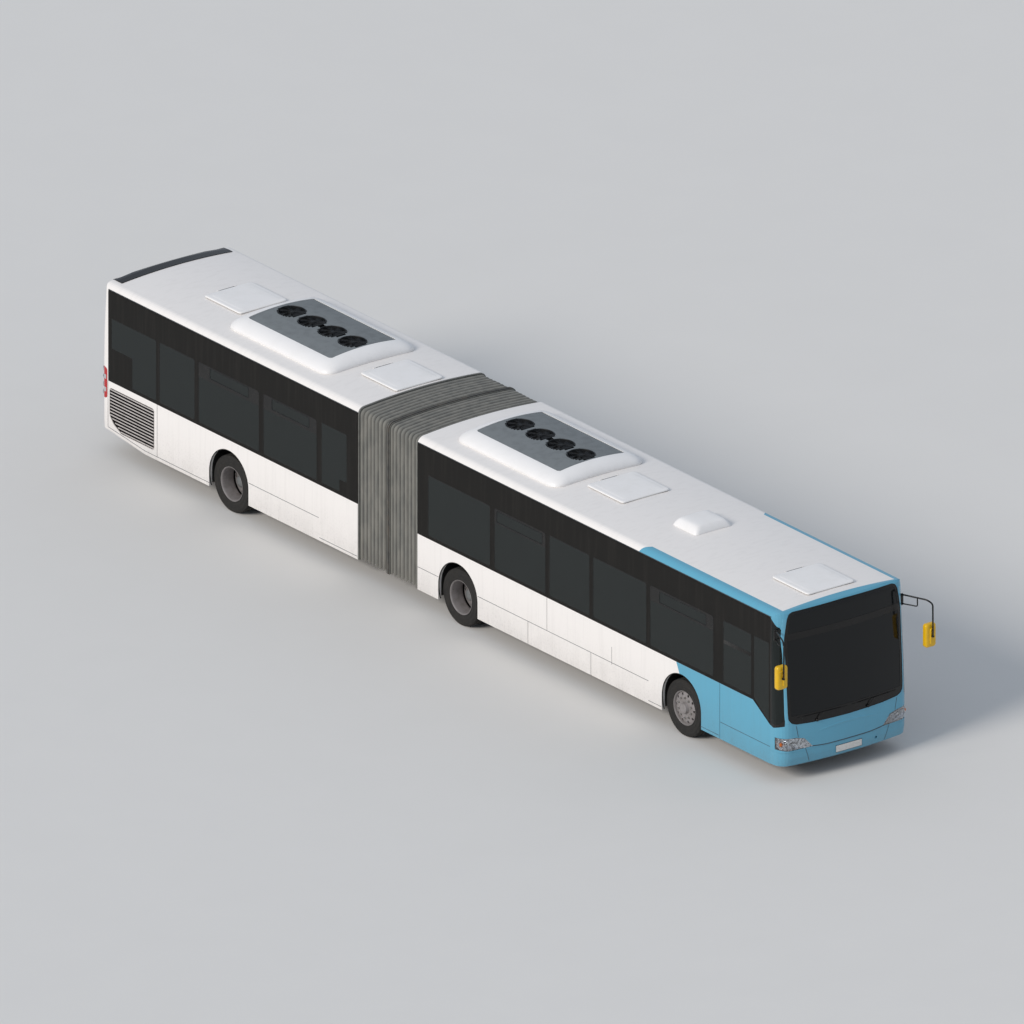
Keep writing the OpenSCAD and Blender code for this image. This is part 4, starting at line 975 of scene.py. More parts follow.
def buildHatch(number):
    # a shallow moulded lid: a rolled rim, a flat margin and a raised middle with a lengthwise dome
    node = f"roof_hatch_{number}"
    middle = hatches["starts"][number - 1] + hatches["side"] / 2
    base, side, h = hatches["bottom"], hatches["side"], hatches["height"]
    rows = []
    for inset, rise in ((.004, 0), (0, .003), (0, .016), (.004, .022), (.014, .0255), (.05, .027), (.075, .027),
                        (.088, .0305), (.11, h - .0005), (.25, h), (.42, h + .0008)):
        outline = subdivided(roundedBox(side - 2 * inset, side - 2 * inset, max(.045 - inset * .1, .01), 5), 80)
        rows.append(levelAt(outline, middle, base + rise))
    gasket = subdivided(roundedBox(side - .04, side - .04, .04, 5), 80)
    lower = subdivided(roundedBox(side - .09, side - .09, .03, 5), 80)
    seal = [levelAt(o, middle, base - drop) for o, drop in
            ((gasket, .001), (gasket, .009), (lower, .009), (lower, .001))]
    lid = loft(np.array(rows))
    parts = [lid, (*grid(np.array(seal), closeRows=True, closeColumns=True), 1)]
    hingeD, hingeZ = hatches["starts"][number - 1] + side + .02, base + .012
    for x in (-.1, .1):
        leaf = boxAt((x - .03, hingeD - .05, hingeZ - .004), (x + .03, hingeD, hingeZ + .003), .001)
        parts.append((*leaf, 2))
    parts.append((*rodX(-.186, .186, hingeD, hingeZ, .0055), 2))
    handleD, reach = hatches["starts"][number - 1] + .12, .09
    handle = place([(-reach, handleD, base - .003), (-reach, handleD, base - .04), (reach, handleD, base - .04),
                    (reach, handleD, base - .003)])
    parts.append((*sweep(handle, circle(.009, 10), up=(0, 1, 0)), 1))
    piece(f"roofHatchLid{number}", parts, [made["hatchShell"], made["doorGasket"], made["castGrey"]], node,
          smooth=40, replaces=[node])


def rodX(x0, x1, d, z, radius, count=16):
    ring = circle(radius, count)
    rings = np.array([np.column_stack([np.full(count, x), ring[:, 0] * s, ring[:, 1] * s]) for x, s in
                      ((x0, .8), (x0 + .001, 1), (x1 - .001, 1), (x1, .8))])
    points, faces = loft(rings)
    return points + [0, yAt(d), z], faces


for number in (1, 2, 3, 4):
    buildHatch(number)

# gutters: (x, z, radius) of the bead along the cantrail and of the thin line above it
roofDetail = {"vent": (3.52, 4.15, .37), "bead": (1.267, 2.806, .0065), "thin": (1.16, 2.8775, .004),
              "runs": {"front_section": (.36, 9.6), "rear_section": (11.175, 17.69)}}


def buildVent():
    # a low cowl with rolled edges
    d0, d1, half = roofDetail["vent"]
    middle = (d0 + d1) / 2
    rows = []
    for inset, lift in ((.01, -.012), (0, .004), (.006, .02), (.03, .06), (.07, .105), (.10, .12), (.14, .127),
                        (.2, .129), (.28, .13)):
        outline = subdivided(roundedBox(2 * half - 2 * inset, d1 - d0 - 2 * inset * .8, .06, 5), 72)
        rows.append(overRoof(outline, middle, lift))
    piece("roofVentCowl", [loft(np.array(rows))], [made["hatchShell"]], "front_section",
          smooth=45, replaces=["roof_vent"])


def buildGutters():
    # a round bead along each cantrail and a thin line above it
    for body, run in roofDetail["runs"].items():
        parts = []
        for (x, z, radius), sides in ((roofDetail["bead"], 8), (roofDetail["thin"], 6)):
            path = place([(x, d, z) for d in np.linspace(*run, 40)])
            line = sweep(path, circle(radius, sides))
            parts += [line, mirrorX(line)]
        piece(f"{body}Gutters", parts, [made["seamShadow"]], body)


buildVent()
buildGutters()
print("roof")

# Front end

nose = {"bow": 7.9, "corner": .22, "leanZ": [.25, .3, .42, .56, .95, 1.15, 1.6, 2.45, 2.8, 2.87, 2.92, 2.95],
        "lean": [.03, .028, .006, 0, 0, .008, .03, .085, .105, .12, .165, .27]}
tail = {"bow": 9.0, "corner": .1, "leanZ": [.38, .42, .52, 1.55, 2.0, 2.4, 2.8, 2.87, 2.92, 2.95],
        "lean": [.02, .012, 0, 0, .008, .03, .06, .075, .11, .2]}


def capPlan(x, cap):
    # distance in from an end along its plan: a shallow bow, then a quarter circle at each corner
    x = np.abs(np.asarray(x, float))
    centreX = halfWidth - cap["corner"]
    turn = math.acos(centreX / (cap["bow"] - cap["corner"]))
    centreD = cap["bow"] - (cap["bow"] - cap["corner"]) * math.sin(turn)
    bow = cap["bow"] - np.sqrt(cap["bow"] ** 2 - x ** 2)
    corner = centreD - np.sqrt(np.clip(cap["corner"] ** 2 - (x - centreX) ** 2, 0, None))
    return np.where(x < centreX + cap["corner"] * math.cos(turn), bow, corner)


def frontD(x, z):
    return capPlan(x, nose) + np.interp(z, nose["leanZ"], nose["lean"])


def rearD(x, z):
    return (rearY - frontY) - capPlan(x, tail) - np.interp(z, tail["leanZ"], tail["lean"])


def onFront(x, z, out=0.0):
    x, z = np.broadcast_arrays(np.asarray(x, float), np.asarray(z, float))
    return np.stack([x, yAt(frontD(x, z) - out), z], -1)


def onRear(x, z, out=0.0):
    x, z = np.broadcast_arrays(np.asarray(x, float), np.asarray(z, float))
    return np.stack([x, yAt(rearD(x, z) + out), z], -1)


def turnedY(profile, x, z, count=32):
    # (radius, y) points turned about an axis along the bus
    profile = np.array(profile, float)
    ring = circle(1, count)
    rings = np.stack([profile[:, 0][:, None] * ring[None, :, 0] + x,
                      np.broadcast_to(profile[:, 1][:, None], (len(profile), count)),
                      profile[:, 0][:, None] * ring[None, :, 1] + z], -1)
    return rings


headlamp = {"low": ([.69, 1.15, 1.275], [.567, .563, .583]),
            "high": ([.69, .72, .85, 1.0, 1.275], [.568, .61, .733, .768, .781]),
            "firstX": .695, "depth": .085, "amber": (1.222, .135, .672),
            "bowls": [(.865, .655, .058), (1.0, .668, .072), (1.135, .67, .06)]}


def lampPlan(count):
    # points along the plan from the inner tip round the corner, evenly spaced
    centreX = halfWidth - nose["corner"]
    x = np.concatenate([np.linspace(headlamp["firstX"], 1.08, 40), centreX + nose["corner"] * np.sin(
        np.linspace(math.asin((1.085 - centreX) / nose["corner"]), math.radians(82), 40))])
    d = capPlan(x, nose)
    reach = np.concatenate([[0], np.cumsum(np.hypot(np.diff(x), np.diff(d)))])
    at = np.linspace(0, reach[-1], count)
    return np.interp(at, reach, x), np.interp(at, reach, d)


def buildHeadlamp():
    # the left lamp: a lens, the housing behind it with three dishes and bulbs, and the amber indicator
    x, d = lampPlan(36)
    low, high = np.interp(x, *headlamp["low"]) + .002, np.interp(x, *headlamp["high"]) - .002
    normal = np.stack([np.gradient(d), -np.gradient(x)], -1)
    normal /= np.linalg.norm(normal, axis=1, keepdims=True)
    share = np.linspace(0, 1, 11)
    z = low[:, None] + (high - low)[:, None] * share
    swell = .006 * np.sin(math.pi * share)[None] * np.sin(math.pi * np.linspace(.02, .98, 36))[:, None]

    def skin(out):
        px = x[:, None] + normal[:, :1] * out
        pd = d[:, None] + normal[:, 1:] * out
        return np.stack([px, yAt(pd), z], -1)

    lens = np.concatenate([skin(swell - .001), skin(swell - .005)[:, ::-1]], 1)
    edge = np.concatenate([np.stack([x, d, low], -1), np.stack([x, d, high], -1)[::-1]])
    push = np.concatenate([normal, normal[::-1]])
    middle = edge.mean(0)
    rows = []
    for back, shrink in ((.004, 1), (.03, .985), (headlamp["depth"], .9), (headlamp["depth"] + .002, .5)):
        row = edge.copy()
        row[:, 0] -= push[:, 0] * back * .8
        row[:, 1] -= push[:, 1] * back
        row = middle + (row - middle) * [shrink ** .3, 1, shrink]
        rows.append(place(row))
    rows = np.array(rows)
    bowl = loft(np.concatenate([rows, rows[::-1] + [0, .003, 0]]))
    parts = [(*loft(lens), 0), (*bowl, 1)]
    for bx, bz, radius in headlamp["bowls"]:
        front = yAt(float(frontD(bx, bz))) + .016
        dish = turnedY([(radius, front), (radius * 1.04, front - .002), (radius * 1.05, front + .004),
                        (radius * .9, front + .02), (radius * .6, front + .042), (radius * .22, front + .05),
                        (radius * .2, front + .05), (radius * .2, front + .047), (radius * .58, front + .036),
                        (radius * .86, front + .014)], bx, bz)
        parts.append((*grid(dish, closeRows=True, closeColumns=True), 1))
        bulb = [(0, front + .012), (radius * .2, front + .014), (radius * .31, front + .02),
                (radius * .34, front + .03), (radius * .2, front + .047), (0, front + .047)]
        parts.append((*grid(turnedY(bulb, bx, bz, 20), closeColumns=True), 0))
    amberX, amberD, amberZ = headlamp["amber"]
    amber = [(0, .012), (.02, .013), (.034, .02), (.036, .03), (.02, .05), (0, .05)]
    amber = grid(turnedY(amber, amberX, amberZ, 20), closeColumns=True)
    parts.append((*moved(amber, (0, yAt(amberD), 0)), 2))
    return parts


def buildFront():
    lamps = buildHeadlamp()
    lamps += mirrored(lamps)
    piece("headlampUnits", lamps, [made["headlampLens"], made["lampHousing"], made["amberLens"]],
          "front_section", smooth=40, replaces=["headlamps"])
    # blank number plate in its holder
    plate, plateY, plateZ = [], yAt(.002), .415
    for size, parts in (((.524, .119), (-.0005, .0005, .0025, .003)),
                        ((.512, .107), (.0025, .0032, .0042, .0045))):
        rows = []
        for step, inset in zip(parts, (0, 0, 0, .0012)):
            outline = roundedBox(size[0] - 2 * inset, size[1] - 2 * inset, .008, 3)
            rows.append(laid(outline, (0, plateY - step, plateZ), 1))
        plate.append((*loft(np.array(rows)), len(plate)))
    for x in (-.2, .2):
        screw = [(.001, plateY - .0066), (.004, plateY - .0062), (.0055, plateY - .0045), (.0055, plateY)]
        plate.append((*loft(turnedY(screw, x, plateZ, 12)), 2))
    piece("frontPlate", plate, [made["blackGloss"], made["plateWhite"], made["nutSteel"]], "front_section")
    # seams of the corner panels, the dark line from lamp to lamp, and a low raised brow over the nose panel
    seams = []
    for (x0, z0), (x1, z1) in (((1.0, .972), (.962, .775)), ((.83, .56), (.748, .318))):
        t = np.linspace(0, 1, 12)
        path = onFront(x0 + (x1 - x0) * t, z0 + (z1 - z0) * t)
        seams.append(sweep(path, circle(.0042, 8), up=(1, 0, 0)))
    x = np.linspace(-.70, .70, 60)
    line = onFront(x, .549 + .024 * np.clip((np.abs(x) - .38) / .32, 0, 1) ** 1.6, -.001)
    ledge = sweep(line, np.array([[-.006, -.007], [.003, -.007], [.003, .007], [-.006, .007]]))
    piece("frontSeams", seams + [mirrorX(s) for s in seams] + [ledge], [made["seamShadow"]], "front_section")
    browHalf = .62
    x = np.linspace(-browHalf, browHalf, 61)
    t = np.linspace(0, 1, 9)[:, None]
    browZ = .795 + .06 * (1 - (x / browHalf) ** 2)
    rise = .007 * np.sin(math.pi * t) ** 1.3 * (1 - (x / browHalf) ** 4)[None]
    outer = np.stack([np.broadcast_to(x, rise.shape), yAt(frontD(x, browZ)[None] - rise + .0006),
                      browZ[None] + (t - .5) * .05], -1)
    under = outer + [0, .004, 0]
    piece("noseBrow", [loft(np.concatenate([outer, under[::-1]]).transpose(1, 0, 2))], [made["frontPaint"]],
          "front_section", smooth=60)


screen = {"half": [[.70, .985], [1.0, 1.005], [1.08, 1.035], [1.125, 1.1], [1.135, 1.2], [1.15, 2.45],
                   [1.12, 2.64],
                   [1.085, 2.8], [1.05, 2.855], [.99, 2.875]], "bottom": .975, "head": 2.89,
          "bands": ((2.42, 2.53), (1.125, 1.145)), "border": .045, "bandHalf": 1.125, "footZ": 1.135}


def screenOutline(inset):
    # the windscreen's edge from the middle of its foot round to the middle of its foot again, pulled in evenly
    half = np.array([[0, screen["bottom"]], *screen["half"], [0, screen["head"]]])
    whole = np.concatenate([half, (half * [-1, 1])[::-1][1:-1]])
    whole = subdivided(whole, 240)
    ahead = np.roll(whole, -1, 0) - np.roll(whole, 1, 0)
    ahead /= np.linalg.norm(ahead, axis=1, keepdims=True)
    return whole + np.stack([-ahead[:, 1], ahead[:, 0]], -1) * inset


def buildScreen():
    rings = []
    for inset, out in ((.003, -.004), (.003, .0012), (screen["border"], .0012), (screen["border"], -.004)):
        outline = screenOutline(inset)
        if inset == screen["border"]:
            outline[:, 1] = np.maximum(outline[:, 1], screen["footZ"])
        rings.append(onFront(outline[:, 0], outline[:, 1], out))
    parts = [grid(np.array(rings), closeRows=True, closeColumns=True)]
    for z0, z1 in screen["bands"]:
        x = np.linspace(-screen["bandHalf"], screen["bandHalf"], 61)
        strip = np.array([onFront(x, z, out)
                          for z, out in ((z0, -.004), (z0, .0014), (z1, .0014), (z1, -.004))])
        parts.append(loft(strip.transpose(1, 0, 2)))
    piece("screenBorder", parts, [made["blackGloss"]], "front_section", smooth=40)
    # rubber round the screen
    gasket = onFront(*screenOutline(-.002).T, .001)
    piece("screenGasket", [sweep(gasket, circle(.006, 8), closed=True, up=(0, 1, 0))], [made["doorGasket"]],
          "front_section")
    # wipers: a pivot cap, a tapering arm, and a blade on its carrier
    wipers, pivotZ, bladeZ, bow = [], 1.0, 1.105, .006 * np.sin(np.linspace(0, math.pi, 30))
    for pivotX, startX, endX in ((-.62, -.98, -.02), (.38, .06, .98)):
        y = onFront(pivotX, pivotZ, .012)[1]
        cap = [(.003, y - .02), (.02, y - .018), (.026, y - .004), (.026, y + .02)]
        wipers.append((*loft(turnedY(cap, pivotX, pivotZ, 20)), 0))
        middleX = (startX + endX) / 2
        t = np.linspace(0, 1, 14)
        x, z = pivotX + (middleX - pivotX) * t, pivotZ + (bladeZ - pivotZ) * np.sin(t * math.pi / 2)
        path = onFront(x, z, 0)
        path[:, 1] -= .02 + .012 * np.sin(math.pi * t)
        wipers.append((*sweep(path, roundedBox(.018, .009, .003, 2), up=(0, 1, 0), widths=1 - .45 * t), 0))
        x = np.linspace(startX, endX, 30)
        blade = onFront(x, bladeZ + bow, .006)
        rubber = np.array([[-.002, -.006], [.002, -.006], [.002, .004], [-.002, .004]])
        wipers.append((*sweep(blade, rubber, up=(0, 1, 0)), 1))
        carrier = onFront(x[4:-4], bladeZ + bow[4:-4], .0135)
        wipers.append((*sweep(carrier, roundedBox(.006, .01, .002, 2), up=(0, 1, 0)), 0))
    piece("wipers", wipers, [made["blackGloss"], made["doorGasket"]], "front_section")
    # blank destination display behind the upper part of the screen
    x = np.linspace(-.93, .93, 25)
    rows = np.array([onFront(x, z, -back)
                     for z, back in ((2.565, .02), (2.565, .16), (2.80, .16), (2.80, .02))])
    parts = [(*loft(rows.transpose(1, 0, 2)), 0)]
    for z in np.linspace(2.59, 2.775, 14):
        parts.append((*sweep(onFront(np.linspace(-.88, .88, 20), z, -.0185), circle(.0022, 4)), 1))
    piece("destinationDisplay", parts, [made["displayBlack"], made["fanBlack"]], "front_section")


mirror = {"headX": .202, "headD": -.172, "headZ": 2.0, "barX": .212, "barD": -.248, "tube": .0135}


def curved(points, steps=10, bend=.05):
    # a path through points with each inner corner rounded by a short quadratic curve
    points = np.array(points, float)
    path = [points[:1]]
    t = np.linspace(0, 1, steps)[:, None]
    for before, here, after in zip(points[:-2], points[1:-1], points[2:]):
        ends = []
        for end in (before, after):
            length = np.linalg.norm(end - here)
            ends.append(here + (end - here) / length * min(bend, length * .45))
        path.append((1 - t) ** 2 * ends[0] + 2 * t * (1 - t) * here + t ** 2 * ends[1])
    return np.concatenate(path + [points[-1:]])


def buildMirrors():
    w = halfWidth
    headX, barX, barD, headZ = w + mirror["headX"], w + mirror["barX"], mirror["barD"], mirror["headZ"]
    foot = (w - .02, .262, 2.605)
    arm = curved([foot, (w + .16, -.16, 2.602), (barX - .004, barD, 2.55), (barX, barD, 1.995),
                  (barX, mirror["headD"] - .02, 1.995)], 10, .045)
    strut = curved([(w - .02, .262, 2.45), (w + .1, .012, 2.452), (w + .1, .012, 2.585)], 8, .03)
    parts = [(*sweep(place(arm), circle(mirror["tube"], 14), up=(.3, .2, 1)), 0),
             (*sweep(place(strut), circle(.0105, 12), up=(.3, .2, 1)), 0)]
    base = []
    for inset, out in ((0, -.06), (0, .002), (.004, .008), (.012, .011)):
        o = roundedBox(.034 - inset, .20 - inset, .012, 3)
        base.append(laid(o, (w - .002 + out, yAt(.27), 2.52), 0))
    parts.append((*loft(np.array(base)), 0))
    # the head is rounded boxes stacked along the bus, with a raised L on its front and the glass in its back
    rows = []
    for d, inset in ((-.2185, .05), (-.217, .028), (-.21, .012), (-.198, .003), (-.18, 0), (-.14, 0),
                     (-.130, .003), (-.127, .008), (-.127, .012), (-.135, .014)):
        o = roundedBox(.21 - 2 * inset, .4 - 2 * inset, max(.045 - inset * .5, .02), 6)
        rows.append(laid(o, (headX, yAt(d), headZ), 1))
    parts.append((*loft(np.array(rows)), 1))
    glass = []
    for d, inset in ((-.1345, 0), (-.1315, 0), (-.1305, .003)):
        o = roundedBox(.178 - inset, .366 - inset, .032, 6)
        glass.append(laid(o, (headX, yAt(d), headZ), 1))
    parts.append((*loft(np.array(glass)), 2))
    stemX = headX - .012
    ridge = curved([(stemX, -.221, 1.87), (stemX, -.221, 2.115), (headX + .075, -.221, 2.115)], 8, .03)
    parts.append((*sweep(place(ridge), roundedBox(.034, .02, .008, 3), up=(0, 1, 0)), 1))
    clamp = turnedY([(.001, yAt(-.262)), (.016, yAt(-.262)), (.019, yAt(-.258)), (.019, yAt(-.212))], barX,
                    1.995, 20)
    parts.append((*loft(clamp), 0))
    piece("mirrorAssemblies", parts + mirrored(parts),
          [made["blackGloss"], made["mirrorYellow"], made["mirrorGlass"]], "front_section",
          smooth=40, replaces=["mirrors"])


def buildPillars():
    # a painted cover over each corner pillar, from the foot of the windscreen up to the brow
    z = np.linspace(1.03, 2.80, 60)
    x0 = np.interp(z, [1.03, 1.1, 1.2, 2.45, 2.64, 2.80], [1.12, 1.137, 1.142, 1.154, 1.126, 1.10])
    width = np.interp(z, [1.03, 1.2, 2.2, 2.5, 2.8], [.05, .046, .034, .05, .07])
    across = np.array([0, .02, .25, .5, .75, .98, 1.0])
    outs = np.array([-.004, .0028, .0034, .0036, .0034, .0028, -.004])
    x = x0[:, None] + width[:, None] * across[None]
    skin = onFront(x, z[:, None], outs[None])
    strip = loft(np.concatenate([skin, onFront(x[:, ::-1], z[:, None], -.005)[:, 1:-1]], 1))
    piece("pillarCovers", [strip, mirrorX(strip)], [made["pillarBlue"]], "front_section",
          smooth=50)


buildFront()
buildScreen()
buildPillars()
buildMirrors()
print("front")

# Sides: window seals and hoppers, seams, arches, louvres, doors

glazing = {
    "frontRight": [(.876, 1.609, 1.305, 2.346), (1.87, 3.519, 1.305, 2.33), (3.62, 5.013, 1.305, 2.33),
                   (5.11, 6.156, 1.305, 2.33), (6.26, 7.59, 1.305, 2.33), (7.71, 9.325, 1.305, 2.33)],
    "frontLeft": [(2.08, 3.519, 1.305, 2.33), (3.62, 4.93, 1.305, 2.33), (6.49, 7.59, 1.305, 2.33),
                  (7.71, 9.325, 1.305, 2.33)],
    "rearRight": [(12.24, 13.63, 1.305, 2.33), (13.75, 15.325, 1.305, 2.33), (15.43, 16.35, 1.305, 2.33)],
    "rearLeft": [(11.46, 11.93, 1.305, 2.33), (13.49, 15.325, 1.305, 2.33), (15.43, 16.35, 1.305, 2.33),
                 (16.44, 17.6, 1.305, 2.33)],
    # hoppers: the opening pane's (first d, last d, low, high) inside the window it belongs to
    "hoppersFrontRight": {1: (2.055, 3.287, 2.11, 2.305), 4: (6.335, 7.54, 2.11, 2.305)},
    "hoppersFrontLeft": {0: (2.2, 3.4, 2.11, 2.305), 3: (7.9, 9.14, 2.11, 2.305)},
    "hoppersRearRight": {0: (12.43, 13.42, 2.13, 2.318), 1: (14.02, 15.04, 2.13, 2.318)},
    "hoppersRearLeft": {1: (13.75, 15.05, 2.13, 2.318)},
    "frameFoot": 2.082, "seal": .0045,
}


def sideBox(d0, d1, z0, z1, x, corner, steps):
    # a rounded box's outline on an upright plane at a place x, from (first d, last d, low, high)
    return laid(roundedBox(d1 - d0, z1 - z0, corner, steps), (x, yAt((d0 + d1) / 2), (z0 + z1) / 2), 0)


def sideFrame(outer, inner, side, out=.003, back=.004):
    # a flat frame on the body's side between two rounded boxes
    rows = [sideBox(*box, side * (halfWidth - .001 + x), .012, 4) for box, x in
            ((outer, -back), (outer, out), (inner, out), (inner, -back))]
    return grid(np.array(rows), closeRows=True, closeColumns=True)


def shrunk(box, dStep, zStep):
    # (first d, last d, low, high) pulled in on all four sides
    return box[0] + dStep, box[1] - dStep, box[2] + zStep, box[3] - zStep


def buildWindows():
    for section in ("front", "rear"):
        seals, frames = [], []
        for side, word in ((-1, "Right"), (1, "Left")):
            windows = glazing[section + word]
            for window in windows:
                path = sideBox(*window, side * halfWidth, .035, 5)
                seals.append(sweep(path, circle(glazing["seal"], 6), closed=True, up=(1, 0, 0)))
            for number, hopper in glazing[f"hoppers{section.title()}{word}"].items():
                d0, d1, _, z1 = windows[number]
                outer = (d0 + .003, d1 - .003, glazing["frameFoot"], z1 - .002)
                frames.append((*sideFrame(outer, hopper, side), 0))
                pane = sideFrame(shrunk(hopper, .002, .002), shrunk(hopper, .014, .012), side, .0045)
                frames.append((*pane, 1))
                catchX = sorted((side * (wallInside - .03), side * (wallInside + .045)))
                middle, foot = (hopper[0] + hopper[1]) / 2, hopper[2]
                catch = boxAt((catchX[0], middle - .04, foot - .02), (catchX[1], middle + .04, foot), .005)
                frames.append((*catch, 0))
        if section == "front":
            # the bar across the driver's window
            frames.append((*boxAt((-halfWidth - .002, .879, 1.96), (-halfWidth + .012, 1.606, 2.03), .003), 0))
        piece(f"{section}WindowSeals", seals, [made["doorGasket"]], f"{section}_section")
        piece(f"{section}Hoppers", frames, [made["blackGloss"], made["fanBlack"]], f"{section}_section",
              smooth=30)


seams = {
    "front_section": [(-1, 6.22, 1.243, 6.22, .68), (-1, 6.716, .68, 6.716, .296), (-1, 5.07, .68, 5.07, .296),
                      (-1, 4.525, .95, 4.525, .65), (0, 1.7, 1.243, 1.7, .296), (0, 8.03, .68, 3.57, .68),
                      (0, 9.6, .68, 9.06, .68), (-1, 1.686, .585, .39, .585), (0, 3.57, .346, 3.23, .346),
                      (-1, 2.2, .346, 1.73, .346)],
    "rear_section": [(0, 16.41, 1.243, 16.41, .345), (0, 14.02, .68, 12.19, .68), (0, 12.17, .346, 11.18, .346),
                     (0, 15.04, .352, 16.73, .352), (0, 16.73, .352, 17.69, .455),
                     (0, 17.694, 1.243, 17.694, .46)],
}
leftDoors = {"front": .64, "middle": 5.05, "rear": 12.05}
doorway = {"width": 1.32, "head": 2.38, "gap": .006}
arch = {"radius": .515, "z": .555, "foot": .296}
treads = {"count": 5, "firstX": 1.20, "pitch": .012, "radius": .0022, "inset": .03}


def clearOfDoors(d0, z0, d1, z1):
    # the parts of a level seam on the left that lie between doorways
    spans = sorted((start, start + doorway["width"]) for start in leftDoors.values())
    low, high = min(d0, d1), max(d0, d1)
    if low == high:
        return [] if any(a < low < b for a, b in spans) else [(d0, z0, d1, z1)]
    pieces, start = [], low
    for a, b in spans:
        if b < start or a > high:
            continue
        if a > start:
            pieces.append((start, a - .01))
        start = b + .01
    if start < high:
        pieces.append((start, high))
    slope = (z1 - z0) / (d1 - d0)
    return [(a, z0 + (a - d0) * slope, b, z0 + (b - d0) * slope) for a, b in pieces if b - a > .05]


def buildSeams():
    for body, lines in seams.items():
        parts = []
        for side, d0, z0, d1, z1 in lines:
            for s in ((-1, 1) if side == 0 else (side,)):
                for a, za, b, zb in ([(d0, z0, d1, z1)] if s < 0 else clearOfDoors(d0, z0, d1, z1)):
                    t = np.linspace(0, 1, 6)
                    path = np.column_stack([np.full(6, s * (halfWidth + .0006)), yAt(a + (b - a) * t),
                                            za + (zb - za) * t])
                    parts.append(sweep(path, roundedBox(.008, .003, .001, 1) if abs(b - a) > abs(zb - za) else
                                       roundedBox(.003, .008, .001, 1), up=(1, 0, 0)))
        piece(f"{body}Seams", parts, [made["seamShadow"]], body)
    # rubber lips round the wheel arches
    lipSection = np.array([[-.014, -.0042], [-.014, .0042], [.010, .0054], [.0125, 0], [.010, -.0054]])
    for axle, body in (("front", "front_section"), ("middle", "front_section"), ("rear", "rear_section")):
        angle = np.linspace(math.radians(-30.5), math.radians(210.5), 60)
        angle = angle[np.sin(angle) * arch["radius"] + arch["z"] > arch["foot"]]
        path = np.column_stack([np.full(len(angle), halfWidth - .008),
                                yAt(axleD[axle] + arch["radius"] * np.cos(angle)),
                                arch["z"] + arch["radius"] * np.sin(angle)])
        lip = sweep(path, lipSection, up=(1, 0, 0))
        piece(f"{axle}ArchLips", [lip, mirrorX(lip)], [made["blackRubber"]], body, smooth=50)


louvres = {"first": 16.49, "last": 17.65, "low": .44, "high": 1.14, "count": 13, "cut": (.30, .22),
           "corner": .05}


def grilleEnd(z):
    # where the opening ends at a height: its lower rear corner is cut on a slant
    return louvres["last"] - louvres["cut"][0] * np.clip(1 - (z - louvres["low"]) / louvres["cut"][1], 0, 1)


def buildLouvres():
    # slanted blades over a near-black plate that is painted shade of the opening behind them, and a thin lip
    # round the opening
    parts = []
    pitch = (louvres["high"] - louvres["low"]) / louvres["count"]
    plate = roundedGrille(.006)
    grilleShadePlate = np.array([np.column_stack([np.full(len(plate), -(halfWidth + x)), yAt(plate[:, 0]), plate[:, 1]])
                        for x in (-.0035, .0006)])
    parts.append((*loft(grilleShadePlate), 1))
    section = np.array([[-.0005, .016], [.0062, .003], [.0062, -.003], [.0045, -.004], [-.0005, .004]])
    for z in louvres["low"] + pitch * (np.arange(louvres["count"]) + .42):
        low = z - .004
        ends = (louvres["first"] + .012, float(grilleEnd(low)) - .014)
        rings = np.array([np.column_stack([-(halfWidth + section[:, 0]), np.full(5, yAt(d)), z + section[:, 1]])
                          for d in np.linspace(*ends, 4)])
        parts.append((*loft(rings), 0))
    edge = roundedGrille(0)
    path = np.column_stack([np.full(len(edge), -(halfWidth + .0008)), yAt(edge[:, 0]), edge[:, 1]])
    parts.append((*sweep(path, circle(.0045, 6), closed=True, up=(1, 0, 0)), 0))
    piece("grilleBlades", parts, [made["louvreGrey"], made["grilleShadowBlack"]], "rear_section", smooth=30)


def roundedGrille(inset):
    # the opening's outline as (distance, height), with rounded upper corners and a slanted lower rear one
    first, last = louvres["first"] + inset, louvres["last"] - inset
    low, high, r = louvres["low"] + inset, louvres["high"] - inset, louvres["corner"]
    turn = np.linspace(0, math.pi / 2, 6)
    return np.concatenate([
        np.column_stack([last - r + r * np.cos(turn), high - r + r * np.sin(turn)]),
        np.column_stack([first + r - r * np.sin(turn), high - r + r * np.cos(turn)]),
        np.column_stack([first + r - r * np.cos(turn), low + r - r * np.sin(turn)]),
        [[last - louvres["cut"][0], low], [last - .10, low + .105], [last - .02, low + .20],
         [last, low + .25]]])


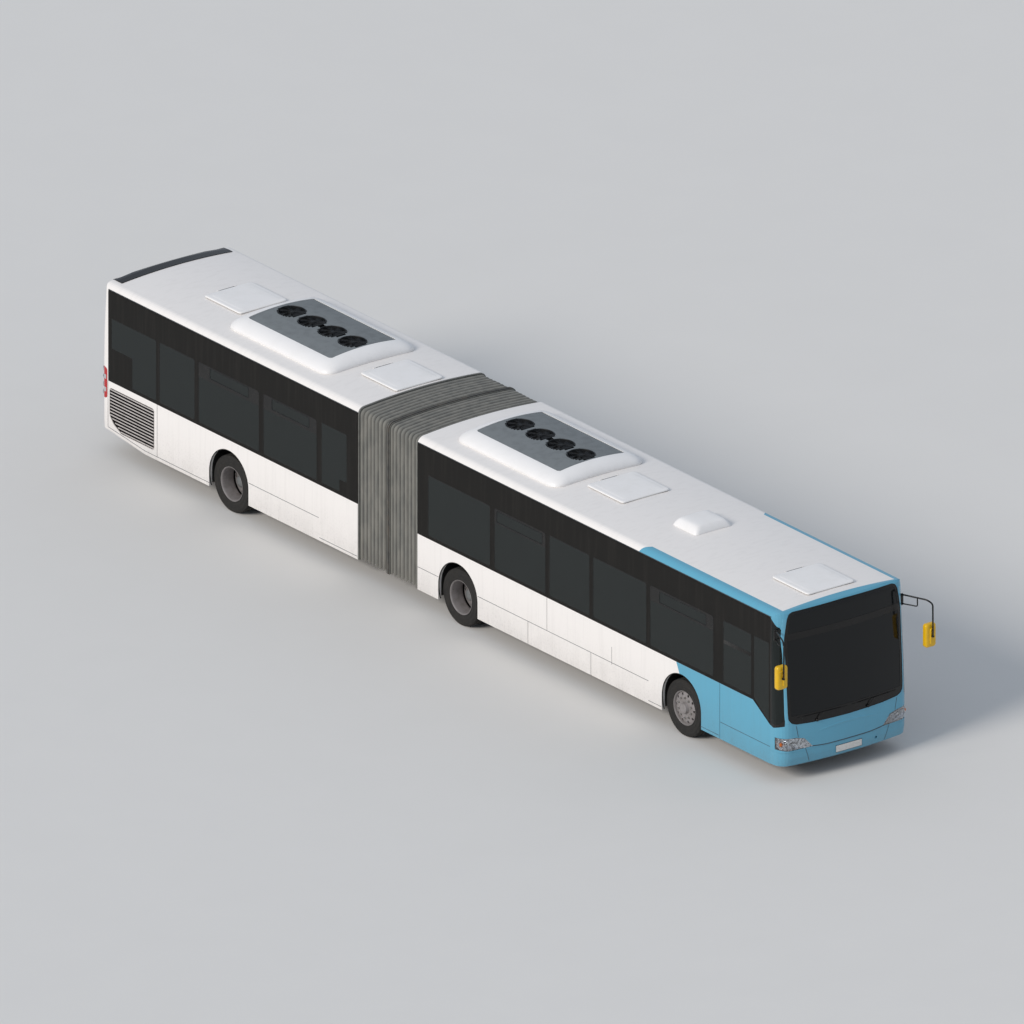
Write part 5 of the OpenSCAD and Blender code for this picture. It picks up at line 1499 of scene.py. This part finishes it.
def buildDoors():
    leafWidth = (doorway["width"] - 3 * doorway["gap"]) / 2
    for name, d0 in leftDoors.items():
        for leaf in (1, 2):
            first = d0 + doorway["gap"] if leaf == 1 else d0 + doorway["width"] - doorway["gap"] - leafWidth
            last = first + leafWidth
            body = f"{name}_door_leaf_{leaf}"
            z0, z1 = floorTop + .01, doorway["head"] - .01
            low, high = z0 + .09, z1 - .07
            parts = []
            # a bead round the pane on both faces, rubber on the meeting edge and the foot, and a grab rail
            for x in (halfWidth - .0075, halfWidth - .0415):
                path = laid(roundedBox(leafWidth - .136, high - low + .004, .05, 5),
                            (x, yAt((first + last) / 2), (low + high) / 2), 0)
                parts.append((*sweep(path, circle(.004, 6), closed=True, up=(1, 0, 0)), 0))
            edge = last + .0005 if leaf == 1 else first - .0005
            leafX = halfWidth - .0245
            path = place([(leafX, edge, z) for z in np.linspace(z0 + .01, z1 - .01, 20)])
            parts.append((*sweep(path, circle(.0022, 8) * [1, 6.5], up=(1, 0, 0)), 0))
            foot = place([(leafX, d, z0 - .003) for d in np.linspace(first + .01, last - .01, 12)])
            parts.append((*sweep(foot, roundedBox(.012, .012, .003, 2)), 0))
            railD = last - .075 if leaf == 1 else first + .075
            onLeaf, inside = halfWidth - .045, halfWidth - .105
            rail = place([(onLeaf, railD, .86), (inside, railD, .86), (inside, railD, 1.72),
                          (onLeaf, railD, 1.72)])
            parts.append((*sweep(curved(rail, 8, .04), circle(.0155, 12), up=(.2, 1, .1)), 1))
            piece(f"{name}LeafTrim{leaf}", parts, [made["doorGasket"], made["grabYellow"]], body,
                  smooth=40)
    # sill treads in the doorways
    for body, names in (("front_section", ("front", "middle")), ("rear_section", ("rear",))):
        parts = []
        for name in names:
            first = leftDoors[name] + treads["inset"]
            last = first + doorway["width"] - 2 * treads["inset"]
            for x in treads["firstX"] - treads["pitch"] * np.arange(treads["count"]):
                path = place([(x, first, floorTop + .001), (x, last, floorTop + .001)])
                parts.append(sweep(path, circle(treads["radius"], 6)))
        piece(f"{body}SillTreads", parts, [made["brushedSteel"]], body)


buildWindows()
buildSeams()
buildLouvres()
buildDoors()
print("sides")

# Rear end

rearEnd = {"lamps": (1.0, 1.13, 1.26, 1.392), "lampX": 1.186, "lampRadius": .055, "plateZ": .74,
           "stripHalf": 1.10}


def buildRear():
    parts = []
    for number, z in enumerate(rearEnd["lamps"]):
        face = yAt(float(rearD(rearEnd["lampX"], z)))
        r = rearEnd["lampRadius"]
        dome = turnedY([(0, .012), (r * .3, .0115), (r * .6, .0095), (r * .82, .006), (r * .94, .001),
                        (r, -.008), (r, -.05), (0, -.05)], rearEnd["lampX"], z, 32)
        ring = turnedY([(r * 1.0, -.04), (r * 1.0, .002), (r * 1.05, .004), (r * 1.12, .003), (r * 1.17, -.003),
                        (r * 1.17, -.04)],
                       rearEnd["lampX"], z, 32)
        core = turnedY([(0, .0135), (r * .16, .0135), (r * .2, .011), (r * .2, .006)], rearEnd["lampX"], z, 16)
        material = (0, 0, 1, 0)[number]
        for rings, m in ((dome, material), (ring, 3), (core, 2)):
            parts.append((*moved(grid(rings, closeColumns=True), (0, face, 0)), m))
    parts += mirrored(parts)
    piece("tailLampLenses", parts, [made["redLens"], made["amberLens"], made["clearLens"], made["lampHousing"]],
          "rear_section", smooth=40)
    # black weather strip that turns down over the roof's rear edge
    x = np.linspace(-rearEnd["stripHalf"], rearEnd["stripHalf"], 41)
    share = np.linspace(0, 1, 9)
    d = 17.56 + (rearD(x, 2.95) - 17.56)[None] * share[:, None]
    z = roofZ(x)[None] + 0 * d
    lip = (2.945, 2.93, 2.90, 2.87)
    dropD = np.array([rearD(x, height) for height in lip])
    dropZ = np.array([np.minimum(height, roofZ(x)) for height in lip])
    d, z = np.concatenate([d, dropD]), np.concatenate([z, dropZ])
    top = np.stack([np.broadcast_to(x, d.shape), yAt(d), z], -1)
    lift = np.concatenate([np.full(9, 1.0), [.8, .5, .3, .2]])[:, None]
    upper = top + np.stack([0 * lift, .010 * (1 - lift) + .002, .011 * lift], -1)
    piece("rearRoofStrip", [loft(np.concatenate([upper, top[::-1] - [0, .002, .004]]).transpose(1, 0, 2))],
          [made["blackGloss"]], "rear_section", smooth=50)
    # rear window: black border and seal, and a blank display in its top
    def windowRing(inset, out):
        o = subdivided(roundedBox(1.96 - 2 * inset, .95 - 2 * inset, max(.06 - inset * .4, .02), 5), 160)
        return onRear(o[:, 0], 1.975 + o[:, 1], out)
    ring = np.array([windowRing(i, o)
                     for i, o in ((.002, -.006), (.002, -.0012), (.055, -.0012), (.055, -.006))])
    piece("rearWindowBorder", [grid(ring, closeRows=True, closeColumns=True)], [made["blackGloss"]],
          "rear_section")
    piece("rearWindowSeal", [sweep(windowRing(-.001, -.0055), circle(.0055, 8), closed=True, up=(0, 1, 0))],
          [made["doorGasket"]], "rear_section")
    panel = []
    for inset, out in ((0, -.05), (0, -.014), (.004, -.012)):
        o = subdivided(roundedBox(.78 - 2 * inset, .2 - 2 * inset, .01, 3), 60)
        panel.append(onRear(o[:, 0], 2.305 + o[:, 1], out))
    piece("rearDisplay", [loft(np.array(panel))], [made["displayBlack"]], "rear_section")
    # engine lid: blank plate, recessed handle surround and slot blades; they move with the lid
    lid = []
    for size, outs, m in (((.524, .119), (-.002, .001, .0035, .004), 0),
                          ((.512, .107), (.003, .0042, .0052, .0055), 1)):
        rows = []
        for out, inset in zip(outs, (0, 0, 0, .0012)):
            o = subdivided(roundedBox(size[0] - 2 * inset, size[1] - 2 * inset, .008, 3), 48)
            rows.append(onRear(o[:, 0], rearEnd["plateZ"] + o[:, 1], out - .006))
        lid.append((*loft(np.array(rows)), m))
    for i in range(6):
        z0 = .9 + .05 * i
        x = np.linspace(-.555, .555, 25)
        rows = [onRear(x, z0 + z, out)
                for z, out in ((-.001, -.03), (.003, -.03), (.014, -.006), (.010, -.005))]
        lid.append((*loft(np.array(rows).transpose(1, 0, 2)), 2))
    for x0 in (-.62, .62):
        grip = [onRear(x0 + reach, .66, out)
                for reach, out in ((-.05, -.004), (-.05, .010), (.05, .010), (.05, -.004))]
        lid.append((*sweep(curved(grip, 6, .012), circle(.006, 10), up=(0, 0, 1)), 2))
    edge = roundedBox(1.536, .703, .03, 5)
    path = onRear(edge[:, 0], .9205 + edge[:, 1], -.001)
    lid.append((*sweep(subdivided(path, 120), circle(.0035, 6), closed=True, up=(0, 1, 0)), 3))
    piece("engineLidTrim", lid,
          [made["blackGloss"], made["plateWhite"], made["louvreGrey"], made["doorGasket"]],
          "engine_lid", smooth=40)


def buildCornerLamps():
    # the tail lamps run on round the corner: red skin over the side, with two clear patches
    turn = np.linspace(0, math.radians(50), 12)
    centreD = 17.763
    plan = np.concatenate([np.column_stack([np.full(4, halfWidth), np.linspace(17.712, centreD - .003, 4)]),
                           np.column_stack([halfWidth - tail["corner"] * (1 - np.cos(turn)),
                                            centreD + tail["corner"] * np.sin(turn)])])
    normal = np.concatenate([np.tile([1.0, 0.0], (4, 1)), np.column_stack([np.cos(turn), np.sin(turn)])])
    reach = np.concatenate([[0], np.cumsum(np.hypot(*np.diff(plan, axis=0).T))])
    parts = []
    for low, high, start, corner, out, material in ((.932, 1.458, 0, .05, .0022, 0),
                                                    (1.255, 1.33, .03, .012, .0032, 1),
                                                    (1.04, 1.115, .03, .012, .0032, 1)):
        z = np.linspace(low, high, 31)[:, None]
        over = np.clip((np.abs(z - (low + high) / 2) - (high - low) / 2 + corner) / corner, 0, 1)
        s0 = start + corner * (1 - np.sqrt(1 - over ** 2))
        s = s0 + (reach[-1] - s0) * np.linspace(0, 1, 18)[None]
        at = [np.interp(s, reach, values) for values in (plan[:, 0], plan[:, 1], normal[:, 0], normal[:, 1])]
        skins = [np.stack([at[0] + at[2] * o, yAt(at[1] + at[3] * o), z + 0 * s], -1) for o in (out, -.003)]
        parts.append((*loft(np.concatenate([skins[0], skins[1][:, ::-1]], 1)), material))
    parts += mirrored(parts)
    piece("cornerLamps", parts, [made["redLens"], made["clearLens"]], "rear_section", smooth=40)


buildRear()
buildCornerLamps()
print("rear end")

# Inside: seats, rails, lights and the driver's place

seats = {"wallX": wallInside - .005,
         "front_section": {"right": [3.48 + .76 * i for i in range(6)], "left": [3.48, 4.24, 6.56, 7.32]},
         "rear_section": {"right": [11.48, 12.24, 13.0, 15.16, 15.72], "left": [15.16, 15.72]}}


def pillow(width, depth, height, squareness=.38, crown=.012, pull=.012, rows=9, columns=44):
    # a crowned cushion: rounded-square outlines stacked up, pulled in at the seam half way up,
    # its top rising towards the middle
    share = np.linspace(-1, 1, rows)
    edge = np.cos(np.abs(share) ** 2.2 * math.pi / 2) ** squareness
    angle = np.arange(columns) * 2 * math.pi / columns
    c, s = np.cos(angle), np.sin(angle)
    outline = np.stack([np.sign(c) * np.abs(c) ** .28, np.sign(s) * np.abs(s) ** .28], -1)
    waist = 1 - pull / width * 2 * (1 - np.abs(share)) ** 3
    ring = outline[None] * (.72 + .28 * edge)[:, None, None] * waist[:, None, None] * [width / 2, depth / 2]
    z = share * height / 2
    rings = np.concatenate([ring, np.broadcast_to(z[:, None, None], (rows, columns, 1))], -1)
    cap = rings[-1] * [.55, .55, 1] + [0, 0, crown]
    centre = rings[-1] * [.12, .12, 1] + [0, 0, crown * 1.25]
    return loft(np.concatenate([rings, cap[None], centre[None]]))


def tilted(part, pitch, shift):
    # turned about a line across the bus, then moved into place
    c, s = math.cos(pitch), math.sin(pitch)
    return moved((part[0] @ np.array([[1, 0, 0], [0, c, s], [0, -s, c]]), part[1]), shift)


def seatPads(x, d, base):
    cushion = tilted(pillow(.40, .39, .07), math.radians(3), (x, yAt(d + .215), base + .428))
    back = tilted(pillow(.385, .58, .055), math.radians(97.5), (x, yAt(d + .43), base + .76))
    return [cushion, back]


def seatShell(x, d, base):
    # a moulded shell: its middle line runs under the cushion and up the back, its edges curl forwards
    line = place(curved([(0, d + .01, base + .395), (0, d + .38, base + .388), (0, d + .455, base + .50),
                         (0, d + .525, base + 1.085)], 6, .06))
    across = np.linspace(-1, 1, 11)
    curl = .035 * np.abs(across) ** 4
    reach = np.linspace(0, 1, len(line))[:, None]
    forward = np.clip(reach * 2 - .7, 0, 1)
    width = .215 - .03 * np.clip(reach * 4 - 3.2, 0, 1) ** 2
    rows = np.stack([x + across[None] * width, line[:, 1][:, None] - curl[None] * forward,
                     line[:, 2][:, None] + curl[None] * (1 - forward)], -1)
    under = rows + np.stack([0 * reach, .012 * forward, -.012 * (1 - forward)], -1)
    shell = loft(np.concatenate([rows, under[:, ::-1]], 1))
    handle = curved(place([(x - .15, d + .522, base + 1.06), (x - .15, d + .528, base + 1.125),
                           (x + .15, d + .528, base + 1.125), (x + .15, d + .522, base + 1.06)]), 6, .03)
    return [(*shell, 0), (*sweep(handle, circle(.011, 10), up=(0, 1, .1)), 1)]


def seatLeg(x, d, base):
    rows = []
    for z, w, l in ((base + .002, .11, .2), (base + .012, .11, .2), (base + .02, .07, .15),
                    (base + .36, .06, .12), (base + .384, .2, .3)):
        o = roundedBox(w, l, min(w, l) * .3, 3)
        rows.append(laid(o, (x, yAt(d + .22), z), 2))
    return (*loft(np.array(rows)), 2)


def buildSeats():
    for body, short in (("front_section", "front"), ("rear_section", "rear")):
        places = []
        for side, sign in (("right", -1), ("left", 1)):
            for d in seats[body][side]:
                for offset in (.22, .66):
                    places.append((sign * (seats["wallX"] - offset), d, floorTop))
        # the rear bench stands on the engine's deck, the driver's seat on its podium
        driver = (-.60, 1.08, floorTop + .15)
        places += [(.985 - .415 * i, 17.09, .9) for i in range(4)] if short == "rear" else [driver]
        pads, shells = [], []
        for x, d, base in places:
            pads += seatPads(x, d, base)
            shells += seatShell(x, d, base)
            if base < .6:
                shells.append(seatLeg(x, d, base))
        if short == "front":
            # armrests and headrest of the driver's seat, and the podium under it
            pads.append(tilted(pillow(.27, .17, .07), math.radians(97),
                               (-.60, yAt(1.08 + .52), floorTop + 1.33)))
            shells.append((*boxAt((-wallInside + .002, .902, floorTop + .0005), (-.25, 1.698, floorTop + .1495),
                                  .012), 3))
            for x in (-.86, -.34):
                arm = curved(place([(x, 1.5, .98), (x, 1.2, .98), (x, 1.16, .975)]), 4, .05)
                shells.append((*sweep(arm, roundedBox(.05, .03, .012, 3)), 0))
        cushions = piece(f"{short}SeatCushions", pads, [made["seatCloth"]], body, smooth=70)
        piece(f"{short}SeatShells", shells,
              [made["seatShell"], made["grabYellow"], made["castGrey"], made["dashPlastic"]],
              body, smooth=45,
              replaces=["front_seats", "driver_seat"] if short == "front" else ["rear_seats"])


rails = {"radius": .0165, "lineX": .42, "lineZ": 2.1,
         "front_section": {"span": (2.2, 9.35),
                           "poles": [(-.30, 3.43), (-.30, 6.47), (-.30, 8.0), (.30, 3.43), (.30, 5.0),
                                     (.30, 6.5), (.30, 8.2),
                                                           (.62, 2.05), (.62, 2.62)]},
         "rear_section": {"span": (11.4, 17.0),
                          "poles": [(-.30, 11.43), (-.30, 13.75), (.30, 11.9), (.30, 13.5), (.30, 15.1),
                                    (-.30, 15.1),
                                                           (.30, 16.3), (-.30, 16.3)]}}


def buildRails():
    for body in ("front_section", "rear_section"):
        parts = []
        for x, d in rails[body]["poles"]:
            top = float(roofZ(x)) - .062
            path = place([(x, d, z) for z in np.linspace(floorTop, top, 14)])
            parts.append((*sweep(path, circle(rails["radius"], 12), up=(0, 1, 0)), 0))
            for z in (floorTop + .004, top - .004):
                collar = place([(x, d, z - .004), (x, d, z + .004)])
                parts.append((*sweep(collar, circle(.034, 16), up=(0, 1, 0)), 1))
            bell = place([(x, d, z) for z in (1.5, 1.56, 1.62)])
            parts.append((*sweep(bell, circle(.021, 12), up=(0, 1, 0)), 2))
        start, end = rails[body]["span"]
        for sign in (-1, 1):
            line = place([(sign * rails["lineX"], start, roof["crown"] - .075),
                          (sign * rails["lineX"], start, rails["lineZ"]),
                          (sign * rails["lineX"], end, rails["lineZ"]),
                          (sign * rails["lineX"], end, roof["crown"] - .075)])
            parts.append((*sweep(curved(line, 8, .12), circle(rails["radius"], 12), up=(1, 0, 0)), 0))
            for i in range(int((end - start) / .75)):
                d = start + .4 + .75 * i
                strap = place([(sign * rails["lineX"], d, rails["lineZ"] + .012),
                               (sign * rails["lineX"], d, 1.93)])
                parts.append((*sweep(strap, roundedBox(.022, .004, .0015, 1), up=(0, 1, 0)), 2))
                hoop = laid(circle(.045, 20), (sign * rails["lineX"], yAt(d), 1.89), 0)
                parts.append((*sweep(hoop, circle(.007, 8), closed=True, up=(1, 0, 0)), 2))
        piece(f"{body}Rails", parts, [made["grabYellow"], made["castGrey"], made["doorGasket"]], body,
              smooth=45)
        # long lamp covers under the ceiling
        lights = []
        for sign in (-1, 1):
            for i in range(4):
                d0 = start + .1 + i * (end - start) / 4
                d1 = d0 + (end - start) / 4 - .12
                z = float(roofZ(.72)) - .0615
                rows = []
                for drop, inset in ((0, 0), (.012, .002), (.026, .012), (.032, .03)):
                    o = subdivided(roundedBox(.19 - 2 * inset, d1 - d0 - 2 * inset, .03, 4), 40)
                    rows.append(laid(o, (sign * .72, yAt((d0 + d1) / 2), z - drop), 2))
                lights.append(loft(np.array(rows)))
        piece(f"{body}CeilingLights", lights, [made["clearLens"]], body, smooth=45)


def buildDriver():
    # a screen behind the driver and a gate beside, and dials, switches and till on the dashboard
    parts, rows = [], []
    for d, inset in ((1.722, .004), (1.726, 0), (1.744, 0), (1.748, .004)):
        o = roundedBox(.94 - 2 * inset, 1.70 - 2 * inset, .06, 5)
        rows.append(laid(o, (-.735, yAt(d), 1.235), 1))
    parts.append((*loft(np.array(rows)), 0))
    parts.append((*boxAt((-.262, .95, floorTop + .16), (-.238, 1.68, 1.32), .01), 0))
    for x, r in ((-.72, .06), (-.56, .06), (-.44, .035), (-.82, .035)):
        dial = turnedY([(0, 0), (r * .92, 0), (r, .004), (r, .02), (0, .02)], 0, 0, 28)
        parts.append((*tilted(grid(dial, closeColumns=True), -.6, (x, yAt(.602), 1.094)), 1))
    for i in range(9):
        parts.append((*boxAt((-1.02 + .055 * i, .642, 1.0), (-.985 + .055 * i, .656, 1.022), .003), 2))
    parts.append((*boxAt((-.26, .40, 1.13), (-.06, .60, 1.33), .02), 3))
    piece("driverPlace", parts,
          [made["trimGrey"], made["displayBlack"], made["plateWhite"], made["dashPlastic"]],
          "front_section", smooth=40)


buildSeats()
buildRails()
buildDriver()
print("inside")

# Floor, light and camera

studio = {"floor": tone(226, 224, 220), "floorHalf": 900.0, "sky": (.77, .86, 1.0, 1), "skyStrength": .54,
          "keyStrength": 2.15, "keyColour": (1.0, .945, .89), "keyFrom": (-1.0, -.08, .58), "keyAngle": 20}


def buildStage():
    # a wide pale floor
    half = studio["floorHalf"]
    mesh = bpy.data.meshes.new("studioFloor")
    mesh.from_pydata([(-half, -half, 0), (half, -half, 0), (half, half, 0), (-half, half, 0)], [],
                     [(0, 1, 2, 3)])
    floor = bpy.data.objects.new("studioFloor", mesh)
    bpy.context.scene.collection.objects.link(floor)
    board, shader = startMaterial("studioFloor", Roughness=.9)
    tint = board.mix(board.noise(.8, 3.0), studio["floor"], shaded(studio["floor"], .97))
    board.feed(shader.inputs["Base Color"], tint)
    mesh.materials.append(made["studioFloor"])


def addSun(name, strength, colour, origin, angle):
    light = bpy.data.lights.new(name, "SUN")
    light.energy, light.color, light.angle = strength, colour, math.radians(angle)
    lamp = bpy.data.objects.new(name, light)
    direction = np.array(origin) / np.linalg.norm(origin)
    lamp.rotation_euler = Vector((-direction).tolist()).to_track_quat("-Z", "Y").to_euler()
    bpy.context.scene.collection.objects.link(lamp)


buildStage()
addSun("key", studio["keyStrength"], studio["keyColour"], studio["keyFrom"], studio["keyAngle"])
world = bpy.data.worlds.new("studio")
bpy.context.scene.world = world
world.use_nodes = True
world.node_tree.nodes["Background"].inputs[0].default_value = studio["sky"]
world.node_tree.nodes["Background"].inputs[1].default_value = studio["skyStrength"]

cameraView = {"azimuth": -37.3057, "elevation": 22.1536, "distance": 400.0, "across": 16.226,
              "aim": (0, -.03, 1.557)}


def aimCamera():
    a, e = math.radians(cameraView["azimuth"]), math.radians(cameraView["elevation"])
    back = Vector((math.sin(a) * math.cos(e), -math.cos(a) * math.cos(e), math.sin(e)))
    data = bpy.data.cameras.new("camera")
    data.type, data.ortho_scale = "ORTHO", cameraView["across"]
    data.clip_start, data.clip_end = 10.0, 4000.0
    camera = bpy.data.objects.new("camera", data)
    camera.location = Vector(cameraView["aim"]) + back * cameraView["distance"]
    camera.rotation_euler = (-back).to_track_quat("-Z", "Y").to_euler()
    bpy.context.scene.collection.objects.link(camera)
    bpy.context.scene.camera = camera


aimCamera()
bpy.context.scene.view_settings.view_transform = "Standard"
